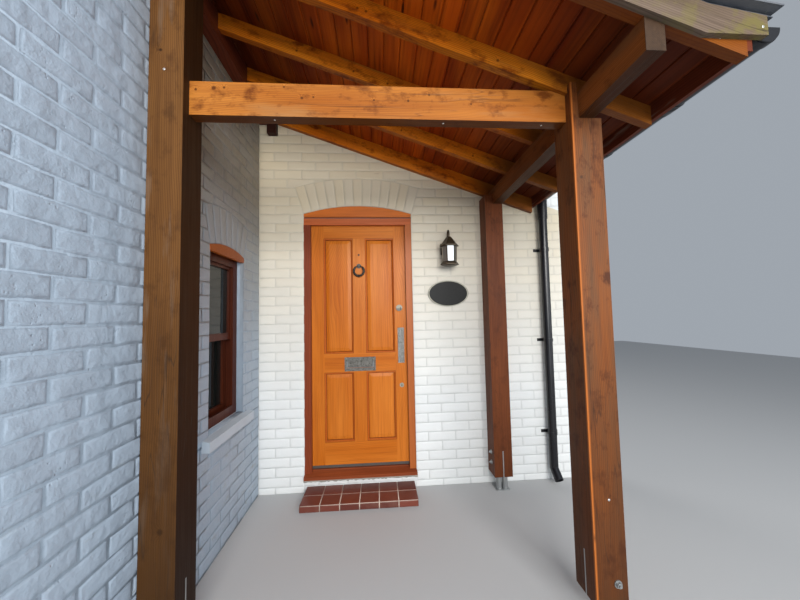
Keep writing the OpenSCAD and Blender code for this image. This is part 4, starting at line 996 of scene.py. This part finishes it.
BLACK = plain("rainwater_black", (0.006, 0.006, 0.008), 0.30, bump=0.0004, scale=30, vary=0.2)
IRON = plain("black_iron", (0.040, 0.036, 0.030), 0.38, metal=0.6, bump=0.0005, scale=180, vary=0.4)
dress(ceiling(), "roof_boards")
dress(plain("lead", (0.22, 0.235, 0.25), 0.55, metal=0.4, bump=0.002, scale=40, vary=0.25), "lead_flashing")
dress(BLACK, "gutter", "gutter_brackets", "downpipe", "pipe_clips")
dress(plain("galvanised", (0.36, 0.37, 0.37), 0.45, metal=0.8, bump=0.0004, scale=90, vary=0.12),
      "post_shoes", "post_bolts")
dress(plain("bright_metal", (0.24, 0.235, 0.22), 0.46, metal=0.55, bump=0.0004, scale=150, vary=0.2),
      "frame_hinges", "leaf_hinges")
dress(embossed("embossed_silver", (0.52, 0.52, 0.49), (0.085, 0.080, 0.070), 75.0), "finger_plate")
dress(embossed("embossed_pewter", (0.31, 0.30, 0.27), (0.045, 0.040, 0.032), 85.0),
      "letter_plate", "letter_flap")
dress(IRON, "knocker_mount", "knocker_ring")
dress(plain("dark_bronze", (0.055, 0.040, 0.024), 0.42, metal=0.6, bump=0.0004, scale=160, vary=0.3,
            dirt=(0.11, 0.085, 0.045)), "wall_lantern")
# The sill's white paint given as a blue-grey: painted shade and blue skylight
dress(plain("shaded_painted_stone", (0.46, 0.52, 0.58), 0.6, bump=0.0016, scale=70, vary=0.05), "stone_sill")


def locks():
    """Cylinder rose and key escutcheon in nickel, with painted shade: the cylinder's lower part darker, and
    the keyway and keyhole near black in place of holes; spyhole dark.
    """
    g = Graph("lock_metal")
    at = g.coords()
    x, _, z = g.split(at)
    n = g.noise(at, 90.0)
    high = g.math("GREATER_THAN", z, SPYHOLE_OVER)
    # The keyway and the keyhole are painted near black, standing for the shade inside holes
    slotted = g.times(g.math("COMPARE", x, LOCK_X, 0.0022), g.math("COMPARE", z, CYLINDER_Z, 0.0120))
    # Painted shade: the cylinder's lower part darker, below its lit top
    lower = g.times(g.span(z, 1.4655, 1.4580, 0.0, 0.75), g.math("GREATER_THAN", z, 1.2))
    hole = g.times(g.math("COMPARE", x, LOCK_X, 0.0030), g.math("COMPARE", z, KEY_Z, 0.0090))
    colour = g.mix(n, (0.24, 0.22, 0.17), (0.36, 0.33, 0.26))
    for mask, tint in ((lower, (0.10, 0.095, 0.080)), (high, (0.040, 0.030, 0.022)),
                       (slotted, (0.01, 0.01, 0.01)), (hole, (0.01, 0.01, 0.01))):
        colour = g.mix(mask, colour, tint)
    g.set(Base_Color=colour, Metallic=0.2, Roughness=0.5, Specular_IOR_Level=0.3)
    dress(g.mat, "door_locks")


locks()
bevel(0.004, "stone_sill", segments=3)
bevel(0.0012, "finger_plate", "letter_plate", "letter_flap")

JOINERY = dict(rough=0.42, coat=0.05, rings=0.35)
# The right jamb is made lighter with painted light
dress(wood("frame_wood", *REDDISH, **JOINERY, along="z", seed=17, right=(0.26, 0.075, 0.014)), "door_jambs")
# The head is a much lighter copy of the jambs' stain: a painted highlight
dress(wood("frame_head_lit_wood", (0.40, 0.085, 0.022), (0.16, 0.030, 0.008),
           (0.54, 0.13, 0.036), **JOINERY, seed=18), "door_head")
dress(wood("sill_wood", (0.20, 0.042, 0.014), (0.075, 0.015, 0.006), (0.30, 0.07, 0.022),
           seed=21, rough=0.40, coat=0.1, rings=0.35), "door_sill")
dress(wood("window_wood", (0.060, 0.012, 0.005), (0.022, 0.005, 0.003),
           (0.090, 0.019, 0.007), along="z", seed=19, rough=0.42, coat=0.1, rings=0.35),
      "window_frame", "upper_sash", "lower_sash")
dress(wood("arch_board_wood", (0.50, 0.115, 0.014), (0.20, 0.040, 0.007),
           (0.66, 0.17, 0.022), **JOINERY, seed=20, painted_shade_faces=[(INWARD, 0.6)]), "arch_boards")
bevel(0.002, "door_jambs", "door_head", "door_sill", "window_frame", "upper_sash", "lower_sash",
      "arch_boards")


def door_wood(name, crosswise):
    """Golden door timber: grain up the stiles, muntin and panels, and crosswise on the rails, with painted
    shade along the panel mouldings.
    """
    lock_low, lock_high = (LEAF_Z + z for z in LOCK_RAIL)
    low, high = LEAF_Z + BOTTOM_RAIL, LEAF_TOP - TOP_RAIL
    g = Graph(name)
    at = g.coords()
    x, _, z = g.split(at)
    if crosswise:
        inside = g.math("LESS_THAN", g.math("ABSOLUTE", x), LEAF_X - 0.110)
        band = None
        for a, b in ((LEAF_Z, low), (lock_low, lock_high), (high, LEAF_TOP)):
            hit = g.math("COMPARE", z, (a + b) / 2, (b - a) / 2)
            band = hit if band is None else g.math("MAXIMUM", band, hit)
        across = g.times(inside, band)
    p = g.mapped(at, turn=GRAIN_TURN["z"])
    if crosswise:
        p = g.node("Mix", {0: across, 4: p, 5: at}, data_type="VECTOR").outputs[1]
    depth = g.split(p)[2]
    bend = g.grain(p, (0.8, 3.0, 3.0), 2.0)
    deep = g.plus(g.times(g.math("ABSOLUTE", g.plus(depth, 0.02)), 0.55), g.times(bend, 0.16))
    saw = g.math("FRACT", g.math("DIVIDE", deep, 0.0065))
    line = g.ramp(saw, (0.0, 0.0), (0.6, 0.3), (0.88, 1.0), (1.0, 0.0))
    streak = g.grain(p, (2.2, 80, 80), 5.0, 0.6)
    broad = g.grain(p, (0.8, 5, 5))
    colour = g.mix(g.span(broad, 0.3, 0.7), (0.50, 0.125, 0.008), (0.68, 0.215, 0.028))
    colour = g.mix(g.times(line, 0.40), colour, (0.27, 0.050, 0.003))
    colour = g.mix(g.span(streak, 0.45, 0.8, 0.0, 0.5), colour, (0.23, 0.040, 0.003))
    moulded = None
    for a, b in ((low, lock_low), (lock_high, high)):
        du = g.minus(g.apart(g.math("ABSOLUTE", x), PANEL_X), PANEL_HALF)
        dv = g.minus(g.apart(z, (a + b) / 2), (b - a) / 2)
        out = g.math("MAXIMUM", du, dv)
        moulded = out if moulded is None else g.math("MINIMUM", moulded, out)
    # Painted shade: a darker band round each panel and near black lines in its creases
    band = g.math("COMPARE", moulded, -0.007, 0.0075)
    groove_shade = g.math("MAXIMUM", g.math("COMPARE", moulded, -0.0145, 0.0018),
                    g.math("COMPARE", moulded, 0.0, 0.0012))
    colour = g.mix(g.times(band, 0.55), colour, (0.34, 0.055, 0.008))
    colour = g.mix(g.times(groove_shade, 0.85), colour, (0.10, 0.014, 0.004))
    g.set(Base_Color=colour, Roughness=g.span(streak, 0.3, 0.8, 0.30, 0.42),
          Normal=g.bump(streak, 0.4, 0.0003), Specular_IOR_Level=0.14)
    return g.mat


dress(door_wood("leaf_wood", True), "door_leaf")
dress(door_wood("panel_wood", False), "door_panels")
bevel(0.0012, "door_leaf", "door_panels")


def glass():
    """Near-black glass in the window, painted shade of the dark room behind it, and worn glass in the
    lantern, whose front pane alone is made bright and glowing: a painted reflection.
    """
    g = Graph("window_pane")
    # Near black: the shade of the room behind, painted on the glass
    g.set(Base_Color=(0.012, 0.014, 0.013, 1.0), Roughness=0.05, Transmission_Weight=0.15, IOR=1.4)
    dress(g.mat, "window_glass")
    g = Graph("lantern_pane")
    at = g.coords()
    n = g.noise(at, 120.0)
    x, y, _ = g.split(at)
    # The front pane's brightness and glow are a painted reflection
    front = g.times(g.math("COMPARE", x, 0.754, 0.0255), g.math("LESS_THAN", y, -0.100))
    tint = g.mix(front, (0.20, 0.20, 0.18), (0.86, 0.89, 0.90))
    g.set(Base_Color=tint, Roughness=g.span(n, 0.3, 0.7, 0.25, 0.45), Transmission_Weight=0.30,
          Emission_Color=(0.9, 0.95, 1.0, 1.0), Emission_Strength=g.times(front, 0.25))
    dress(g.mat, "lantern_glass")


def plaque():
    """Black oval with a pale rim, left bare."""
    a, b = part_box("house_plaque")
    w, h = (b[0] - a[0]) / 2, (b[2] - a[2]) / 2
    g = Graph("plaque_black")
    at = g.coords()
    p = g.mapped(at, (1 / w, 0.0, 1 / h), move=(-((a[0] + b[0]) / 2) / w, 0.0, -((a[2] + b[2]) / 2) / h))
    rim = g.math("COMPARE", g.vector("LENGTH", p), 0.965, 0.020)
    n = g.noise(at, 60.0)
    colour = g.mix(rim, g.mix(n, (0.006, 0.006, 0.006), (0.012, 0.012, 0.011)), (0.50, 0.48, 0.38))
    g.set(Base_Color=colour, Roughness=0.5, Normal=g.bump(n, 0.2, 0.0003), Specular_IOR_Level=0.2)
    dress(g.mat, "house_plaque")
    bevel(0.0015, "house_plaque")


glass()
plaque()

# --- small pieces
SCREW = plain("screw_zinc", (0.62, 0.62, 0.60), 0.35, metal=0.7, scale=200)
SEAL = plain("weather_strip", (0.075, 0.062, 0.055), 0.6, bump=0.0004, scale=90)
AHEAD, DOWN = (0, -1, 0), (0, 0, -1)
SIDES = 14


def dome(out, centre, axis, radius, height=0.002):
    """A low round head on a face, axis pointing out of the face."""
    axis = Vector(axis).normalized()
    side = axis.orthogonal().normalized()
    up = axis.cross(side)
    verts = []
    for r, h in ((radius, -0.001), (radius, height * 0.35), (radius * 0.75, height * 0.8),
                 (radius * 0.3, height)):
        for k in range(SIDES):
            a = 2 * math.pi * k / SIDES
            verts.append(tuple(Vector(centre) + axis * h + side * (r * math.cos(a)) + up * (r * math.sin(a))))
    top = 3 * SIDES
    out.add(verts, sleeve(4, SIDES) + [tuple(range(top, top + SIDES)), tuple(range(SIDES - 1, -1, -1))])


def screws():
    out = Builder()
    for x, z in ((-0.746, 2.483), (1.164, 0.561)):
        dome(out, (x, -1.262, z), AHEAD, 0.0055)
    for x in (0.489, 0.975, -0.30):
        dome(out, (x, -1.190, 2.310), DOWN, 0.0045)
    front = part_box("verge_rafter")[0][1]
    for x in (1.060, 1.401):
        dome(out, (x, front, BEAM_TOP - (x - BEAM_X) * FALL + 0.030), AHEAD, 0.0045)
    a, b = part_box("bargeboard")
    dome(out, (b[0] - 0.020, a[1], a[2] + 0.030), AHEAD, 0.0050)
    obj = out.object("screws", [SCREW])
    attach(obj, "porch")


def weather_strip():
    out = Builder()
    out.box((-0.400, LEAF_FRONT - 0.002, LEAF_Z + 0.001), (0.400, LEAF_FRONT + 0.001, LEAF_Z + 0.022))
    obj = out.object("weather_strip", [SEAL], smooth=False)
    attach(obj, "door")


def head_gap_shadow():
    """A dark strip standing for the shadowed gap between the door frame's head and the board above it: a
    painted shadow.
    """
    a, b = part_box("door_head")
    half = DOORWAY_X - 0.002
    out = Builder()
    out.box((-half, a[1] - 0.0006, b[2] - 0.0005), (half, a[1] + 0.014, b[2] + 0.0055))
    obj = out.object("head_gap_shadow", [SEAL], smooth=False)
    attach(obj, "porch")


def wreath():
    """Leaves that thicken the knocker's ring, with a bound knot at its foot."""
    a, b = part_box("knocker_ring")
    y = (a[1] + b[1]) / 2
    middle, bar, flatten = (a[0] + b[0]) / 2, 0.005, 0.85
    reach = (b[0] - a[0]) / 2 - bar
    low = a[2] + bar + reach
    path, radii = [], []
    n, leaves = 150, 11
    for i in range(n + 1):
        turn = math.radians(32 + 296 * i / n)
        leaf = abs(math.sin(leaves * math.pi * i / n))
        knot = max(0.0, 1 - abs(turn - math.pi) / 0.22)
        end = min(1.0, 14 * i / n, 14 * (n - i) / n)
        path.append(Vector((middle + reach * math.sin(turn), y, low + reach * math.cos(turn))))
        radii.append(bar + 0.0004 + end * (0.0024 + 0.0030 * leaf + 0.0030 * knot))
    across = Vector((0, 1, 0))
    verts = []
    for i, (p, r) in enumerate(zip(path, radii)):
        side = (path[min(n, i + 1)] - path[max(0, i - 1)]).normalized().cross(across).normalized()
        for k in range(SIDES):
            t = 2 * math.pi * k / SIDES
            verts.append(tuple(p + side * (r * math.cos(t)) + across * (r * flatten * math.sin(t))))
    out = Builder()
    out.add(verts, sleeve(n + 1, SIDES) + [tuple(range(SIDES - 1, -1, -1)),
                                           tuple(n * SIDES + k for k in range(SIDES))])
    obj = out.object("knocker_wreath", [IRON])
    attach(obj, "ring")


def gutter_union():
    """The clip over the joint of the gutter's two lengths."""
    a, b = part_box("gutter")
    x, z, r = (a[0] + b[0]) / 2, b[2], (b[0] - a[0]) / 2
    n = 24
    m = n + 1
    turns = [math.pi * (1 + k / n) for k in range(m)]
    verts = [(x + rr * math.cos(t), y, z - 0.0005 + rr * math.sin(t))
             for y in (-1.285, -1.225) for rr in (r + 0.0002, r + 0.0042) for t in turns]
    faces = []
    for k in range(n):
        faces += [(m + k, m + k + 1, 3 * m + k + 1, 3 * m + k), (k, 2 * m + k, 2 * m + k + 1, k + 1),
                  (k, k + 1, m + k + 1, m + k), (2 * m + k, 3 * m + k, 3 * m + k + 1, 2 * m + k + 1)]
    out = Builder()
    out.add(verts, faces + [(0, m, 3 * m, 2 * m), (n, 2 * m + n, 3 * m + n, m + n)])
    obj = out.object("gutter_union", [BLACK])
    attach(obj, "porch")


screws()
weather_strip()
head_gap_shadow()
wreath()
gutter_union()


# --- floor and light
def stage():
    mesh = bpy.data.meshes.new("floor")
    mesh.from_pydata([(-12, -14, 0), (12, -14, 0), (12, 12, 0), (-12, 12, 0)], [], [(0, 1, 2, 3)])
    floor = bpy.data.objects.new("floor", mesh)
    floor.location.z = -0.0005
    bpy.context.scene.collection.objects.link(floor)
    g = Graph("floor")
    g.set(Base_Color=(0.45, 0.45, 0.45, 1.0), Roughness=0.8)
    mesh.materials.append(g.mat)


def light(name, where, aim, size, power, colour):
    data = bpy.data.lights.new(name, "AREA")
    data.shape = "RECTANGLE"
    data.size, data.size_y = size
    data.energy = power
    data.color = colour
    lamp = bpy.data.objects.new(name, data)
    lamp.location = where
    lamp.rotation_euler = (Vector(aim) - Vector(where)).to_track_quat("-Z", "Y").to_euler()
    bpy.context.scene.collection.objects.link(lamp)


def world(colour, strength):
    w = bpy.data.worlds.new("sky")
    w.use_nodes = True
    back = w.node_tree.nodes["Background"]
    back.inputs[0].default_value = (*colour, 1)
    back.inputs[1].default_value = strength
    bpy.context.scene.world = w


stage()
world((0.82, 0.90, 1.0), 0.42)
light("front", (1.4, -6.3, 2.9), (0.2, -0.3, 1.3), (3.6, 2.4), 410, (1.0, 0.98, 0.95))
light("sky", (1.2, -4.6, 6.0), (0.2, -1.2, 1.0), (5.0, 3.0), 70, (0.84, 0.92, 1.0))
light("right", (5.5, -3.6, 1.6), (-0.8, -1.2, 1.4), (3.0, 2.5), 60, (0.90, 0.95, 1.0))
light("back", (-3.0, 6.0, 3.6), (-0.2, 0.3, 1.3), (3.6, 3.0), 230, (1.0, 0.98, 0.95))
light("near", (1.4, -3.9, 1.4), (-0.8, -1.7, 1.3), (1.6, 2.2), 14, (0.45, 0.72, 1.0))
bpy.context.scene.view_settings.view_transform = "Standard"
